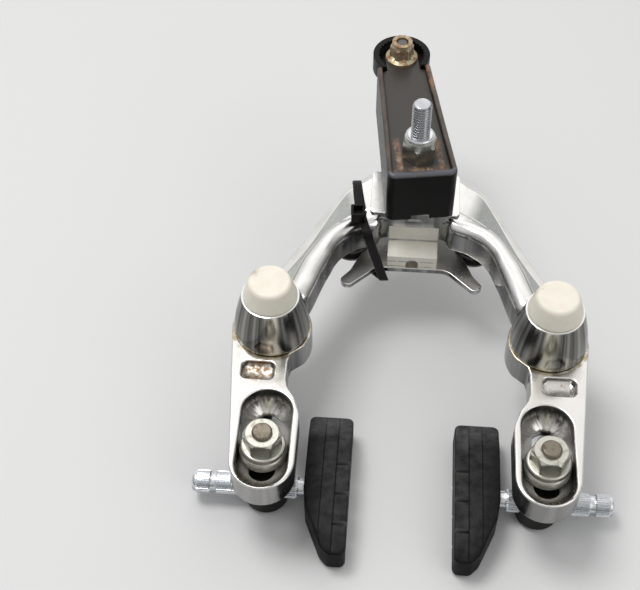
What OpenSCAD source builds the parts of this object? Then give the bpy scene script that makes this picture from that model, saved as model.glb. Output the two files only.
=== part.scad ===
// Roller cam brake for a bicycle rim.
// A forged arch carries two arms on pivot bolts. A cable pulls a cam plate
// between two grooved rollers, which spread the arms' upper legs and close the pads.
// Sizes below are in the brake's own plane: X across the rim, Y from the pads
// towards the bracket, Z along the pivots. Z = 0 is the arch's underside and
// Y = 0 the line of the pivots. placed() then moves all of it to the mounting stud.

/* [Arch] */
// Distance between the two pivots
pivot_gap = 85; // [82:1:92]
// Distance from the line of the pivots to the mounting stud
stud_reach = 47.5; // [46:0.5:50]
// Height of the raised pad at the middle of the arch
arch_h = 12; // [11:0.5:14]
// Height of the rounded rib along each leg
rib_h = 11.4; // [10:0.2:12]
// Radius of the rib's rounded top
rib_r = 3.4; // [3:0.1:3.8]
// Height of the lower band beside the rib
band_h = 8.2; // [7:0.2:9]
// Width of the raised pad under the bracket
pad_land_w = 28.6; // [25:0.2:30]
// Radius of the pivot dome at its foot
dome_foot_r = 11.65; // [11.2:0.05:12.3]
// Radius of the pivot dome at its rim
dome_rim_r = 8.9; // [8.8:0.05:9.6]
// Height of the pivot dome
dome_h = 15.4; // [14:0.2:17]
// Thickness of the wall that closes the dome's top
dome_top_wall = 4; // [3:0.2:5]

/* [Arms] */
// Thickness of the arms
arm_t = 9.7; // [9:0.1:11]
// Radius of the arm's boss round the pivot
boss_r = 12.4; // [12:0.1:13]
// Radius of the rounded end that holds the pad
pod_r = 9.5; // [9:0.1:10]
// Distance from the pivot's line down to the pad's eyebolt
eyebolt_drop = 42.3; // [41:0.1:43.5]
// Distance from the pivot in towards the rim to the eyebolt
eyebolt_inset = 1.5; // [1:0.1:2.5]
// Depth of the long recess round the eyebolt's nut
recess_depth = 5.2; // [4.5:0.1:5.6]
// Width of the long recess
recess_w = 15.2; // [14.6:0.1:15.6]
// Width of the slot in the recess floor
slot_w = 7.9; // [7:0.1:9]
// Length of the slot that the eyebolt can be set along
slot_l = 23.8; // [20:0.2:25]
// Length of the small pocket beside the pivot
pocket_l = 9.8; // [8:0.1:10]
// Width of the small pocket
pocket_w = 6.2; // [5:0.1:6.5]
// Depth of the small pocket
pocket_depth = 2.5; // [1:0.1:4]
// Thickness of the upper leg that carries the roller
leg_t = 4.2; // [4:0.1:5]
// Width of the upper leg
leg_w = 6.6; // [6:0.1:7]

/* [Pivots] */
// Radius of the pivot bolt's shoulder
shoulder_r = 4; // [3.6:0.05:4.2]
// Radius of the bush pressed into each arm
bush_r = 5.5; // [5.2:0.05:5.8]
// Radius of the M6 threads
thread_r = 3; // [2.9:0.05:3.1]
// Distance across the flats of the M6 nuts
nut_flats = 10; // [9.6:0.1:10]
// Radius of the pivot bolt's head
pivot_head_r = 8; // [7:0.1:9]
// Height of the pivot bolt's head
pivot_head_h = 4.6; // [4:0.1:6]
// Radius of the nylon cap at its foot
cap_foot_r = 8.34; // [8.2:0.02:8.6]
// Radius of the nylon cap at its top
cap_top_r = 6.2; // [6.1:0.1:6.6]
// Height of the nylon cap
cap_h = 6.6; // [6:0.1:8]
// Radius of the return spring's wire
spring_wire_r = 0.55; // [0.4:0.05:0.65]
// Radius of the return spring's coil, to the middle of the wire
spring_coil_r = 6; // [5.6:0.1:6.3]
// Number of turns in the return spring
spring_turns = 4; // [3:1:5]

/* [Cam] */
// Thickness of the cam plate
cam_t = 2; // [1.6:0.1:2.4]
// Half the width of the cam plate at the shoulder of its wing tips
cam_tip_half = 20; // [19:0.1:21]
// Slope of the cam's edges, sideways over forwards
cam_slope = 0.4; // [0.36:0.01:0.44]
// How far the cam plate reaches under the arch from its front edge
cam_reach = 22; // [20:0.5:24]
// Width of the nylon block that the cable pulls
block_w = 16.2; // [14:0.1:17]
// Depth of the nylon block along the cable
block_d = 7.3; // [6:0.1:8]
// Height of the nylon block
block_h = 5.7; // [5:0.1:6.5]
// Width of the cable's tunnel through the block
tunnel_w = 4; // [3:0.1:5]
// Radius of the roller at the bottom of its groove
roller_groove_r = 4.6; // [4.2:0.1:5]
// Radius of the roller's flanges
roller_r = 6.2; // [5.8:0.1:6.4]
// Radius of the roller's pin
roller_pin_r = 2.5; // [2.2:0.05:2.8]
// Distance of the rollers from the line of the pivots
roller_reach = 42; // [41:0.2:43]

/* [Pads] */
// Distance between the braking faces of the two pads
rim_gap = 31.4; // [29:0.2:34]
// Length of the pads
pad_l = 47; // [44:0.5:49]
// Height of the pads
pad_h = 11.5; // [10.5:0.1:12]
// Thickness of the pads at the middle
pad_t = 13.6; // [12.5:0.1:14]
// Depth of the grooves in the braking face
groove_depth = 4.2; // [3:0.1:5.5]
// Width of the grooves in the braking face
groove_w = 1.5; // [1:0.1:2]
// Distance between the grooves
groove_pitch = 10; // [8:0.5:11]
// Radius of the pad posts
post_r = 3.5; // [3.3:0.05:3.6]
// Distance from the middle of the brake to the outer end of a post
post_tip = 63.5; // [60:0.5:66]
// Distance of the posts below the arch's underside
post_drop = 24.2; // [23.8:0.1:25]
// Radius of the black collars that hold the posts
collar_r = 6.75; // [6.6:0.05:7]

/* [Bracket] */
// Angle at which the bracket is clamped
bracket_turn = 8.7; // [0:0.1:12]
// Width of the bracket at its front
bracket_w = 21.8; // [20:0.1:23]
// Width of the bracket at its far end
bracket_end_w = 17.6; // [16.6:0.1:19]
// Height of the bracket
bracket_h = 20; // [18:0.2:24]
// Thickness of the bracket's sheet
sheet_t = 1.8; // [1.4:0.1:2]
// Distance from the mounting bolt forward to the bracket's front
bracket_front = 11; // [10:0.1:11.5]
// Distance from the mounting bolt back to the ends of the bracket's sides
bracket_back = 39.5; // [36:0.5:44]
// Distance from the mounting bolt to the bracket's own bolt
cup_reach = 45.7; // [43:0.1:49]
// How far the web lies below the rims
web_drop = 1.8; // [1.2:0.1:2.4]
// Radius of the serrated cup
cup_r = 9.5; // [9:0.1:10]
// Number of teeth round the inside of the cup
cup_teeth = 30; // [24:1:36]

/* [Mounting bolt] */
// Length of the stud that stands out of its nut
stud_out = 12.5; // [10:0.5:16]
// Height of the mounting nut with its nylon ring
mount_nut_h = 8.8; // [7.6:0.1:9.6]

/* [Cable tie] */
// Width of the tie's strap
strap_w = 3; // [2.6:0.1:3.6]
// Thickness of the tie's strap
strap_t = 1.1; // [0.8:0.1:1.3]

/* [Fits] */
// Gap between pieces that move past each other
gap = 0.3; // [0.2:0.05:0.4]
// Gap between a shaft and the bore that it turns in
running = 0.05; // [0.02:0.01:0.09]
// Gap between a bolt and the hole that it passes through
bolt_gap = 0.2; // [0.1:0.05:0.3]

/* [Hidden] */
$fn = 64;

// Pivots and arch
pivot_x = pivot_gap / 2;
cavity_h = dome_h - dome_top_wall;
cavity_r = spring_coil_r + spring_wire_r + 0.9;
spring_slot_w = 2 * spring_wire_r + 0.6;
arm_swing = 5.5;
spring_slot_half = arm_swing + asin((spring_wire_r + gap) / spring_coil_r);
land_front = 8.8;
land_back = 9.5;
land_corner_r = 1.5;
wall_reach = 9.2;
wall_y = stud_reach - wall_reach;
crown_h = arch_h - 0.6;
shoulder_h = arch_h - 1;
edge_w = 3.6;
edge_drop = 1.6;
guide_w = block_w;
guide_h = 6;
guide_d = 2.6;
bolt_head_r = nut_flats / 2 / cos(30);
bolt_head_h = 4;
head_recess_h = bolt_head_h + 1;

// Stations of the arch from its middle to a pivot: inner x, inner y, outer x, outer y,
// height of the inner edge's rib and height of the band beside it
stations = [
    [0, wall_y, 0, stud_reach + 13, crown_h, crown_h],
    [guide_w / 2 + 1.4, wall_y, 12.5, stud_reach + 11.5, crown_h, crown_h],
    [guide_w / 2 + 3.8, wall_y - 3.4, 18, stud_reach + 8.3, shoulder_h, shoulder_h],
    [pivot_x - 25.1, wall_y - 5.6, pivot_x - 19.7, stud_reach + 5.5, rib_h - 0.5, band_h + 1.4],
    [pivot_x - 20.8, wall_y - 8.9, pivot_x - 15.1, stud_reach - 2.3, rib_h, band_h + 0.5],
    [pivot_x - 18.2, wall_y - 12.7, pivot_x - 11.1, 37.4, rib_h, band_h],
    [pivot_x - 16.3, 20.5, pivot_x - 7.1, 29.2, rib_h, band_h],
    [pivot_x - 14.5, 15.4, pivot_x - 3.3, 22.2, rib_h, band_h],
    [pivot_x - 11.3, 5, pivot_x + 2, 12, rib_h, band_h],
    [pivot_x - 8.6, 2, pivot_x + 3.5, 2, rib_h - 1, band_h]
];
steps_between = 3;

// Arms and eyebolts
arm_top = -gap;
arm_low = arm_top - arm_t;
eye_x = pivot_x - eyebolt_inset;
eye_y = -eyebolt_drop;
pod_y = eye_y - 5.5;
pod_top_y = pod_y + 15;
recess_low_y = pod_y - 1;
recess_top_y = recess_low_y + 33 - recess_w;
recess_floor = arm_top - recess_depth;
slot_low_y = eye_y - 5.6;
neck_x = pivot_x - 6;
pocket_x = pivot_x + 2.7;
pocket_y = -16.5;
elbow_in = 8.8;
elbow_x = pivot_x - elbow_in;
elbow_y = 24;

// Cam plate and rollers
cam_top = -gap - block_h;
cam_low = cam_top - cam_t;
cam_front = wall_y - block_d;
cam_shoulder_y = wall_y - 9;
cam_end_y = cam_front + cam_reach;
edge_len = sqrt(1 + cam_slope * cam_slope);
roller_x = cam_tip_half - cam_slope * (roller_reach - cam_shoulder_y)
    + (roller_groove_r + gap) * edge_len;
leg_low = arm_top - leg_t;
groove_top = cam_top + gap;
groove_low = cam_low - gap;
roller_top = leg_low - gap;
roller_low = groove_low - 1.1;
pin_head_r = roller_pin_r + 0.8;
pin_head_h = 0.8;
tunnel_h = 4;

// Pads and posts
pad_face = rim_gap / 2;
pad_back = pad_face + pad_t;
pad_mid_y = eye_y + 0.4;
pad_low_y = pad_mid_y - pad_l / 2;
pad_high_y = pad_mid_y + pad_l / 2;
pad_taper_y = eye_y - 3;
pad_corner_r = 2;
pad_facet_l = 9;
pad_facet_drop = 3.5;
groove_mid_y = eye_y - 4.2;
pad_mid_z = -post_drop;
neck_r = post_r - 0.7;
socket_depth = 4;
collar_low = -post_drop - collar_r + 0.4;
eye_r = collar_r - 1.5;

// Washers under the eyebolt's nut
lower_washer_t = 3.6;
upper_washer_t = 1.9;
lower_washer_r = recess_w / 2 - 0.6;
upper_washer_r = lower_washer_r - 0.5;
nut_base = recess_floor + lower_washer_t + upper_washer_t;
eye_nut_h = 5.4;
eyebolt_top = nut_base + eye_nut_h + 1.2;

// Bracket and mounting bolt
web_top = arch_h + bracket_h - web_drop;
web_low = web_top - sheet_t;
nut_top = web_top + mount_nut_h;
nut_collar_h = 2.6;
nut_hex_h = mount_nut_h - nut_collar_h;
root_r = thread_r - 0.3;
stud_top = nut_top + stud_out;
tongue_w = 11;
cup_wall = 2.2;
cup_floor_t = 2.6;
cup_rim = web_top + 1.6;
small_r = 2;
small_flats = 7;
flange_r = 5.25;

// Cable tie: the strap's loop stands on the line between these two places, and its front
// run leans towards the block
tie_slack = 0.4;
tie_outer = [-pivot_x + 23.1, stud_reach + 8.6];
tie_inner = [-pivot_x + 25.1, cam_front - 1.6];
tie_low = roller_low - gap - pin_head_h - gap - strap_t;
tie_top = max(rib_h, shoulder_h) + gap + strap_t;
tie_run = norm(tie_outer - tie_inner);
tie_turn = atan2(tie_outer[1] - tie_inner[1], tie_outer[0] - tie_inner[0]);
tie_top_shift = 2;
tie_low_shift = -block_w / 2 - 1.4 - tie_inner[0];
tie_bend_r = 3;
tie_head_at = 8.6;
tie_head_l = 5;
tie_head_w = 4.6;
tie_head_h = 3.4;

// Points of an arc round c, from angle a0 to a1
function arc(c, r, a0, a1, n = 8) =
    [for (i = [0:n]) c + r * [cos(a0 + (a1 - a0) * i / n), sin(a0 + (a1 - a0) * i / n)]];

// A rectangle from lo to hi with round corners
function round_rect(lo, hi, r, n = 5) = concat(
    arc([hi[0] - r, lo[1] + r], r, -90, 0, n),
    arc([hi[0] - r, hi[1] - r], r, 0, 90, n),
    arc([lo[0] + r, hi[1] - r], r, 90, 180, n),
    arc([lo[0] + r, lo[1] + r], r, 180, 270, n));

// The mirror image of an outline, in the same turning sense
function mirrored(pts) = [for (i = [len(pts) - 1:-1:0]) [-pts[i][0], pts[i][1]]];

// A smooth curve through four values, at t from the second to the third
function smooth(a, b, c, d, t) =
    b + 0.5 * t * (c - a + t * (2 * a - 5 * b + 4 * c - d + t * (3 * (b - c) + d - a)));

// The station of the arch at u, where 0 is its middle; past the middle it is mirrored
last = len(stations) - 1;
function flipped(s) = [-s[0], s[1], -s[2], s[3], s[4], s[5]];
function station_at(i) = i < 0 ? flipped(stations[min(-i, last)]) : stations[min(i, last)];
function station(u) = let (i = floor(u))
    smooth(station_at(i - 1), station_at(i), station_at(i + 1), station_at(i + 2), u - i);

// The arch's section at a station, as points in space
function section(s) = let (
    inner = [s[0], s[1]],
    outer = [s[2], s[3]],
    w = norm(outer - inner),
    across = (outer - inner) / w,
    rib_mid = s[4] - rib_r,
    profile = concat(
        [[0.6, 0], [0, 0.6], [0, rib_mid]],
        [for (a = [150:-30:90]) [rib_r + rib_r * cos(a), rib_mid + rib_r * sin(a)]],
        [for (a = [60:-30:30]) [rib_r + rib_r * cos(a), max(s[5], rib_mid + rib_r * sin(a))]],
        [[2 * rib_r + 0.6, s[5]], [w - edge_w, s[5]]],
        [[w - 0.5, s[5] - edge_drop], [w, s[5] - edge_drop - 0.6]],
        [[w, 0.6], [w - 0.6, 0]]))
    [for (p = profile) [inner[0] + across[0] * p[0], inner[1] + across[1] * p[0], p[1]]];

// A skin through rings of points that all have the same count. It is closed by the first
// and the last ring, or runs on from the last ring to the first
module skin(rings, loop = false) {
    n = len(rings[0]);
    m = len(rings);
    points = [for (ring = rings) each ring];
    sides = [for (i = [0:m - (loop ? 1 : 2)]) for (j = [0:n - 1])
        let (a = i * n + j, b = i * n + (j + 1) % n, c = (a + n) % (n * m), d = (b + n) % (n * m))
        each [[a, c, b], [b, c, d]]];
    ends = loop ? [] : [[for (j = [0:n - 1]) j], [for (j = [n - 1:-1:0]) (m - 1) * n + j]];
    polyhedron(points, concat(sides, ends), convexity = 8);
}

// Moves the brake so that the mounting stud is at the origin, at the top of its nut
module placed() {
    translate([0, -stud_reach, -nut_top]) children();
}

// side is -1 for the left and 1 for the right
module sided(side) {
    if (side > 0) children();
    else mirror([1, 0, 0]) children();
}

module bar(lo, hi) {
    translate(lo) cube(hi - lo);
}

module rod(r, z0, z1) {
    translate([0, 0, z0]) cylinder(r = r, h = z1 - z0);
}

// A hexagon nut or head with its corners turned down at the top
module hex_prism(flats, z0, z1) {
    corner_r = flats / 2 / cos(30);
    intersection() {
        translate([0, 0, z0]) cylinder(r = corner_r, h = z1 - z0, $fn = 6);
        rotate_extrude()
            polygon([[0, z0], [corner_r, z0], [corner_r, z1 - 0.8], [corner_r - 1, z1], [0, z1]]);
    }
}

// A threaded end with a small bevel
module bolt_end(r, z0, z1) {
    rotate_extrude() polygon([[0, z0], [r, z0], [r, z1 - 0.5], [r - 0.5, z1], [0, z1]]);
}

// Arch

module dome() {
    rise = dome_h - 0.8;
    rotate_extrude()
        polygon(concat([[0, 0], [dome_foot_r - 0.5, 0], [dome_foot_r, 0.5]],
            [for (t = [0.05:0.19:1])
                [dome_foot_r - (dome_foot_r - dome_rim_r) * pow(t, 1.5), 0.5 + rise * t]],
            [[dome_rim_r - 0.3, dome_h], [0, dome_h]]));
}

module arch() color("silver") placed() {
    difference() {
        union() {
            skin([for (k = [-last * steps_between:last * steps_between])
                section(station(-k / steps_between))]);
            linear_extrude(arch_h)
                polygon(round_rect([-pad_land_w / 2, stud_reach - land_front],
                    [pad_land_w / 2, stud_reach + land_back], land_corner_r));
            for (side = [-1, 1]) translate([side * pivot_x, 0, 0]) dome();
        }
        for (side = [-1, 1]) translate([side * pivot_x, 0, 0]) {
            rod(cavity_r, -1, cavity_h);
            rod(thread_r + bolt_gap, cavity_h - 1, dome_h + 1);
            spring_slot(side);
        }
        bar([-guide_w / 2, wall_y - 1, -1], [guide_w / 2, wall_y + guide_d, guide_h]);
        translate([0, stud_reach, 0]) {
            rod(bolt_head_r + 0.3, -1, head_recess_h);
            rod(thread_r + bolt_gap, head_recess_h - 1, arch_h + 1);
        }
    }
}

// The slot in the dome's top wall that holds the spring's upper end
module spring_slot(side) {
    reach = spring_coil_r + spring_slot_w;
    half = reach * tan(spring_slot_half);
    intersection() {
        difference() {
            rod(spring_coil_r + spring_slot_w / 2, cavity_h - 1, cavity_h + 2.2);
            rod(spring_coil_r - spring_slot_w / 2, cavity_h - 2, cavity_h + 3);
        }
        rotate([0, 0, side > 0 ? 0 : 180])
            linear_extrude(dome_h)
                polygon([[0, 0], [reach, -half], [reach, half]]);
    }
}

module guide_pad() color("ivory") placed() {
    bar([-guide_w / 2, wall_y, 0], [guide_w / 2, wall_y + guide_d, guide_h]);
}

// Mounting bolt, bracket and its nuts

module mounting_bolt() color("gainsboro") placed() translate([0, stud_reach, 0]) {
    difference() {
        hex_prism(nut_flats, head_recess_h - bolt_head_h, head_recess_h);
        rod(2.6, head_recess_h - bolt_head_h - 1, head_recess_h - bolt_head_h + 0.4);
    }
    rod(root_r, head_recess_h - 0.5, nut_top + 0.5);
    bolt_end(thread_r, nut_top, stud_top);
}

module mounting_nut() color("darkgray") placed() translate([0, stud_reach, 0])
    difference() {
        union() {
            hex_prism(nut_flats, web_top, web_top + nut_hex_h);
            rotate_extrude()
                polygon([[0, web_top + 1], [4.9, web_top + 1], [4.9, nut_top - 1.2],
                    [4.4, nut_top - 0.3], [0, nut_top - 0.3]]);
        }
        rod(root_r, web_top - 1, nut_top + 1);
        rod(4.1, nut_top - 2.2, nut_top + 1);
    }

module mounting_nut_ring() color("whitesmoke") placed() translate([0, stud_reach, 0])
    difference() {
        rotate_extrude()
            polygon([[0, nut_top - 2.2], [4.1, nut_top - 2.2], [4.1, nut_top - 0.3],
                [3.8, nut_top], [0, nut_top]]);
        rod(root_r, nut_top - 3, nut_top + 1);
    }

// Moves a piece into the bracket's own frame, with the mounting bolt as its axis
module in_bracket() {
    placed() translate([0, stud_reach, 0]) rotate([0, 0, bracket_turn]) children();
}

// The bracket's plan, taken in by d all round
function bracket_plan(d, back = 0) = let (
    wf = bracket_w / 2 - d,
    wb = bracket_end_w / 2 - d,
    r = 2.6 - min(d, 1.8))
    concat([[wb, bracket_back + back], [-wb, bracket_back + back]],
        arc([-wf + r, -bracket_front + d + r], r, 180, 270, 4),
        arc([wf - r, -bracket_front + d + r], r, 270, 360, 4));

module bracket() color([0.12, 0.11, 0.1]) in_bracket() {
    top = arch_h + bracket_h;
    difference() {
        union() {
            translate([0, 0, arch_h]) linear_extrude(bracket_h - 0.6)
                polygon(bracket_plan(0));
            translate([0, 0, top - 0.6]) linear_extrude(0.6)
                polygon(bracket_plan(0.5));
            translate([0, 0, web_low]) linear_extrude(sheet_t)
                polygon(concat([[-tongue_w / 2, 0], [tongue_w / 2, 0]],
                    arc([0, cup_reach], tongue_w / 2, 0, 180, 12)));
        }
        translate([0, 0, arch_h - 1]) linear_extrude(web_low - arch_h + 1)
            polygon(bracket_plan(sheet_t, 1));
        translate([0, 0, web_top]) linear_extrude(bracket_h)
            polygon(bracket_plan(sheet_t, 1));
        bar([-3, -bracket_front - 1, arch_h - 1], [3, -bracket_front + sheet_t + 1, arch_h + 2]);
        rod(thread_r + bolt_gap, web_low - 1, web_top + 1);
        translate([0, cup_reach, 0]) rod(small_r + bolt_gap, web_low - 1, web_top + 1);
    }
}

module serrated_cup() color([0.1, 0.1, 0.1]) in_bracket() {
    floor_low = web_low - cup_floor_t;
    inner_r = cup_r - cup_wall;
    tooth = 0.55;
    difference() {
        translate([0, cup_reach, 0]) difference() {
            rod(cup_r, floor_low, cup_rim);
            translate([0, 0, web_low]) linear_extrude(cup_rim)
                polygon([for (i = [0:2 * cup_teeth - 1])
                    (inner_r + (i % 2 == 0 ? tooth : 0))
                        * [cos(180 * i / cup_teeth), sin(180 * i / cup_teeth)]]);
            rod(small_r + bolt_gap, floor_low - 1, cup_rim);
        }
        bar([-cup_r - 1, 0, floor_low - 1], [cup_r + 1, bracket_back + gap, cup_rim + 1]);
        bar([-tongue_w / 2 - gap, 0, web_low], [tongue_w / 2 + gap, cup_reach, cup_rim + 1]);
    }
}

module bracket_bolt() color("dimgray") in_bracket() translate([0, cup_reach, 0]) {
    floor_low = web_low - cup_floor_t;
    difference() {
        rod(3.5, floor_low - 3, floor_low);
        translate([0, 0, floor_low - 3.5]) cylinder(r = 1.7, h = 2.1, $fn = 6);
    }
    rotate_extrude()
        polygon([[0, floor_low - 1], [small_r, floor_low - 1], [small_r, web_top + 6.2],
            [small_r - 0.4, web_top + 6.6], [0, web_top + 6.6]]);
}

module bracket_nut() color("tan") in_bracket() translate([0, cup_reach, 0])
    difference() {
        union() {
            rotate_extrude()
                polygon([[0, web_top], [flange_r, web_top], [flange_r, web_top + 0.9],
                    [flange_r - 1.6, web_top + 1.9], [0, web_top + 1.9]]);
            hex_prism(small_flats, web_top + 1, web_top + 5.8);
            rod(small_flats / 2 - 0.2, web_top + 5, web_top + 7);
        }
        rod(small_r, web_top - 1, web_top + 8);
    }

// Cam plate and the block that the cable pulls

// The right half of the cam plate's outline, from the middle of its front edge outwards
function cam_half() = let (
    tip = [cam_tip_half + 0.6, cam_shoulder_y - 4],
    tip_r = 2.3,
    end_half = cam_tip_half - cam_slope * (cam_end_y - cam_shoulder_y))
    concat(
        [[0, cam_front]],
        arc([block_w / 2 + 1, cam_front - 6], 6, 90, 55, 4),
        arc(tip, tip_r, 235, 372, 8),
        [[cam_tip_half, cam_shoulder_y], [end_half, cam_end_y - 2], [end_half - 2, cam_end_y]]);

module cam_plate() color("lightgray") placed() {
    half = cam_half();
    difference() {
        translate([0, 0, cam_low]) linear_extrude(cam_t)
            polygon(concat(half, mirrored(half)));
        rivet_places() rod(1.25, cam_low - 1, cam_top + 1);
    }
}

module rivet_places() {
    for (side = [-1, 1])
        translate([side * (block_w + tunnel_w) / 4, cam_front + block_d / 2, 0]) children();
}

module cable_block() color("ivory") placed() difference() {
    bar([-block_w / 2, cam_front, cam_top], [block_w / 2, cam_front + block_d - 0.2, -gap]);
    translate([0, cam_front - 1, 0]) rotate([-90, 0, 0]) linear_extrude(block_d + 2)
        polygon(concat([[-tunnel_w / 2, -cam_top + 1]],
            arc([0, -cam_top - tunnel_h + tunnel_w / 2], tunnel_w / 2, 180, 360, 12),
            [[tunnel_w / 2, -cam_top + 1]]));
    rivet_places() rod(1.25, cam_top - 1, cam_top + 3);
}

module block_rivets() color("darkgray") placed() rivet_places() {
    rod(1.25, cam_low - 0.1, cam_top + 3);
    rotate_extrude() polygon([[0, cam_low - 0.8], [1.6, cam_low - 0.8], [2.2, cam_low - 0.3],
        [2.2, cam_low], [0, cam_low]]);
}

// Cable tie round the arch's left leg and the cam plate's left wing

// How far the loop is moved sideways at u along its run and at height z
function tie_shift(u, z) = let (
    near = pow(min(1, max(0, 1 - u / tie_run)), 3),
    down = (tie_top - z) / (tie_top - tie_low))
    near * (tie_top_shift + (tie_low_shift - tie_top_shift) * down);

// A point of the strap, where p is its place in the loop's plane
function tie_point(p, edge) = [p[0], edge * strap_w / 2 - tie_shift(p[0], p[1]), p[1]];

// The loop's outline, taken in by d
function tie_loop(d) = let (out = tie_slack + strap_t - d)
    round_rect([-out, tie_low + d], [tie_run + out, tie_top - d], tie_bend_r - d, 4);

module cable_tie() color([0.07, 0.07, 0.07]) placed()
    translate([tie_inner[0], tie_inner[1], 0]) rotate([0, 0, tie_turn]) {
        outside = tie_loop(0);
        inside = tie_loop(strap_t);
        skin([for (i = [0:len(outside) - 1]) [
            tie_point(inside[i], 1), tie_point(inside[i], -1),
            tie_point(outside[i], -1), tie_point(outside[i], 1)]], loop = true);
        translate([tie_head_at, -tie_shift(tie_head_at, tie_top), tie_top]) difference() {
            bar([-tie_head_l / 2, -tie_head_w / 2, -strap_t / 2],
                [tie_head_l / 2, tie_head_w / 2, tie_head_h]);
            bar([-tie_head_l / 2 + 1.2, -strap_w / 2 - 0.3, 1.2],
                [tie_head_l, strap_w / 2 + 0.3, tie_head_h - 0.8]);
        }
    }

// Arms, drawn for the right side

function arm_outline() = concat(
    arc([pivot_x, 0], boss_r, -10, 214, 28),
    [[neck_x - 0.6, -10], [neck_x, -12.5], [neck_x, -19.5], [neck_x - 0.9, -22.2]],
    [[neck_x - 3.2, -25.6]],
    arc([eye_x - 0.1, pod_top_y], pod_r, 155, 180, 3),
    arc([eye_x - 0.1, pod_y], pod_r, 180, 360, 18));

function leg_outline() = let (h = leg_w / 2)
    concat(
        [[pivot_x + 8, 2], [pivot_x + 3.4, 11.4]],
        [[elbow_x + h + 0.6, elbow_y + 1], [roller_x + 7.5, roller_reach + 1.5]],
        arc([roller_x, roller_reach], pin_head_r + 1.4, 60, 235, 12),
        [[elbow_x - h - 1.2, elbow_y + 3], [elbow_x - h + 0.6, elbow_y - 4], [pivot_x - 9, 6]]);

module stadium(x, y0, y1, w, z0, z1) {
    translate([x, y0, 0]) rod(w / 2, z0, z1);
    translate([x, y1, 0]) rod(w / 2, z0, z1);
    bar([x - w / 2, y0, z0], [x + w / 2, y1, z1]);
}

module arm(side) color("silver") placed() sided(side) difference() {
    union() {
        translate([0, 0, arm_low]) linear_extrude(arm_t) polygon(arm_outline());
        translate([0, 0, leg_low]) linear_extrude(leg_t) polygon(leg_outline());
    }
    stadium(eye_x, recess_low_y, recess_top_y, recess_w, recess_floor, 1);
    stadium(eye_x, slot_low_y, slot_low_y + slot_l - slot_w, slot_w, arm_low - 1, 1);
    translate([pocket_x, pocket_y, arm_top - pocket_depth]) linear_extrude(5)
        polygon(round_rect([-pocket_l / 2, -pocket_w / 2], [pocket_l / 2, pocket_w / 2], 1.6, 4));
    translate([pivot_x, 0, 0]) {
        rod(bush_r, arm_low - 1, 1);
        translate([-spring_coil_r, 0, 0]) rod(spring_wire_r + 0.1, arm_top - 2.6, 1);
    }
    translate([roller_x, roller_reach, 0]) rod(roller_pin_r, leg_low - 1, 1);
}

module arm_bush(side) color("peru") placed() sided(side) translate([pivot_x, 0, 0])
    difference() {
        rod(bush_r, arm_low, arm_top);
        rod(shoulder_r + running, arm_low - 1, 1);
    }

module pivot_bolt(side) color("dimgray") placed() sided(side) translate([pivot_x, 0, 0]) {
    head_top = arm_low - gap - 0.8 - gap;
    difference() {
        rotate_extrude()
            polygon([[0, head_top - pivot_head_h], [pivot_head_r - 1.2, head_top - pivot_head_h],
                [pivot_head_r, head_top - pivot_head_h + 1.2], [pivot_head_r, head_top], [0, head_top]]);
        translate([0, 0, head_top - pivot_head_h - 1]) cylinder(r = 3.4, h = 3.6, $fn = 6);
    }
    rod(shoulder_r, head_top - 0.5, cavity_h);
    bolt_end(thread_r, cavity_h - 0.5, dome_h + 4.6);
}

module pivot_washer(side) color("dimgray") placed() sided(side) translate([pivot_x, 0, 0])
    difference() {
        rod(pivot_head_r + 1, arm_low - gap - 0.8, arm_low - gap);
        rod(shoulder_r + running, arm_low - 3, arm_low);
    }

module pivot_nut(side) color("darkgray") placed() sided(side) translate([pivot_x, 0, 0])
    difference() {
        hex_prism(nut_flats - 0.5, dome_h, dome_h + 4);
        rod(thread_r, dome_h - 1, dome_h + 5);
    }

module pivot_cap(side) color("ivory") placed() sided(side) translate([pivot_x, 0, dome_h])
    difference() {
        rotate_extrude()
            polygon([[0, 0], [cap_foot_r, 0], [cap_foot_r - 0.1, 0.6], [cap_top_r + 0.4, cap_h - 0.7],
                [cap_top_r - 0.3, cap_h], [0, cap_h]]);
        rod(nut_flats / 2 / cos(30) - 0.2, -1, 4.9);
    }

// A ring of points round the spring's wire at p, where a is the angle round the coil
function wire_ring(p, a, upright) = [for (k = [0:5])
    let (c = spring_wire_r * cos(60 * k), s = spring_wire_r * sin(60 * k))
    upright
        ? p + [c * cos(a) + s * sin(a), c * sin(a) - s * cos(a), 0]
        : p + [c * cos(a), c * sin(a), s]];
function on_coil(a, z) = [spring_coil_r * cos(a), spring_coil_r * sin(a), z];

// The return spring: a coil with one end down into the arm and one up into the dome
module return_spring(side) color("slategray") placed() sided(side) translate([pivot_x, 0, 0]) {
    per_turn = 16;
    low = spring_wire_r + 0.4;
    pitch = (cavity_h - 2 * low - 0.6) / spring_turns;
    n = per_turn * (spring_turns + 0.5);
    skin(concat(
        [wire_ring(on_coil(180, arm_top - 2.4), 180, true),
            wire_ring(on_coil(180, low - 0.6), 180, true)],
        [for (i = [1:n - 1])
            wire_ring(on_coil(180 + 360 * i / per_turn, low + pitch * i / per_turn),
                180 + 360 * i / per_turn, false)],
        [wire_ring(on_coil(0, cavity_h - low + 0.6), 0, true),
            wire_ring(on_coil(0, cavity_h + 1.8), 0, true)]));
}

module roller(side) color("gold") placed() sided(side) translate([roller_x, roller_reach, 0])
    rotate_extrude() polygon([
        [roller_pin_r + running, roller_low], [roller_r, roller_low],
        [roller_r, groove_low - 0.3], [roller_groove_r, groove_low],
        [roller_groove_r, groove_top], [roller_r, groove_top + 0.2],
        [roller_r, roller_top], [roller_pin_r + running, roller_top]]);

module roller_pin(side) color("dimgray") placed() sided(side)
    translate([roller_x, roller_reach, 0]) {
        rod(roller_pin_r, roller_low - gap, arm_top - 0.2);
        rod(pin_head_r, roller_low - gap - pin_head_h, roller_low - gap);
    }

// Pads and what clamps them

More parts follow.
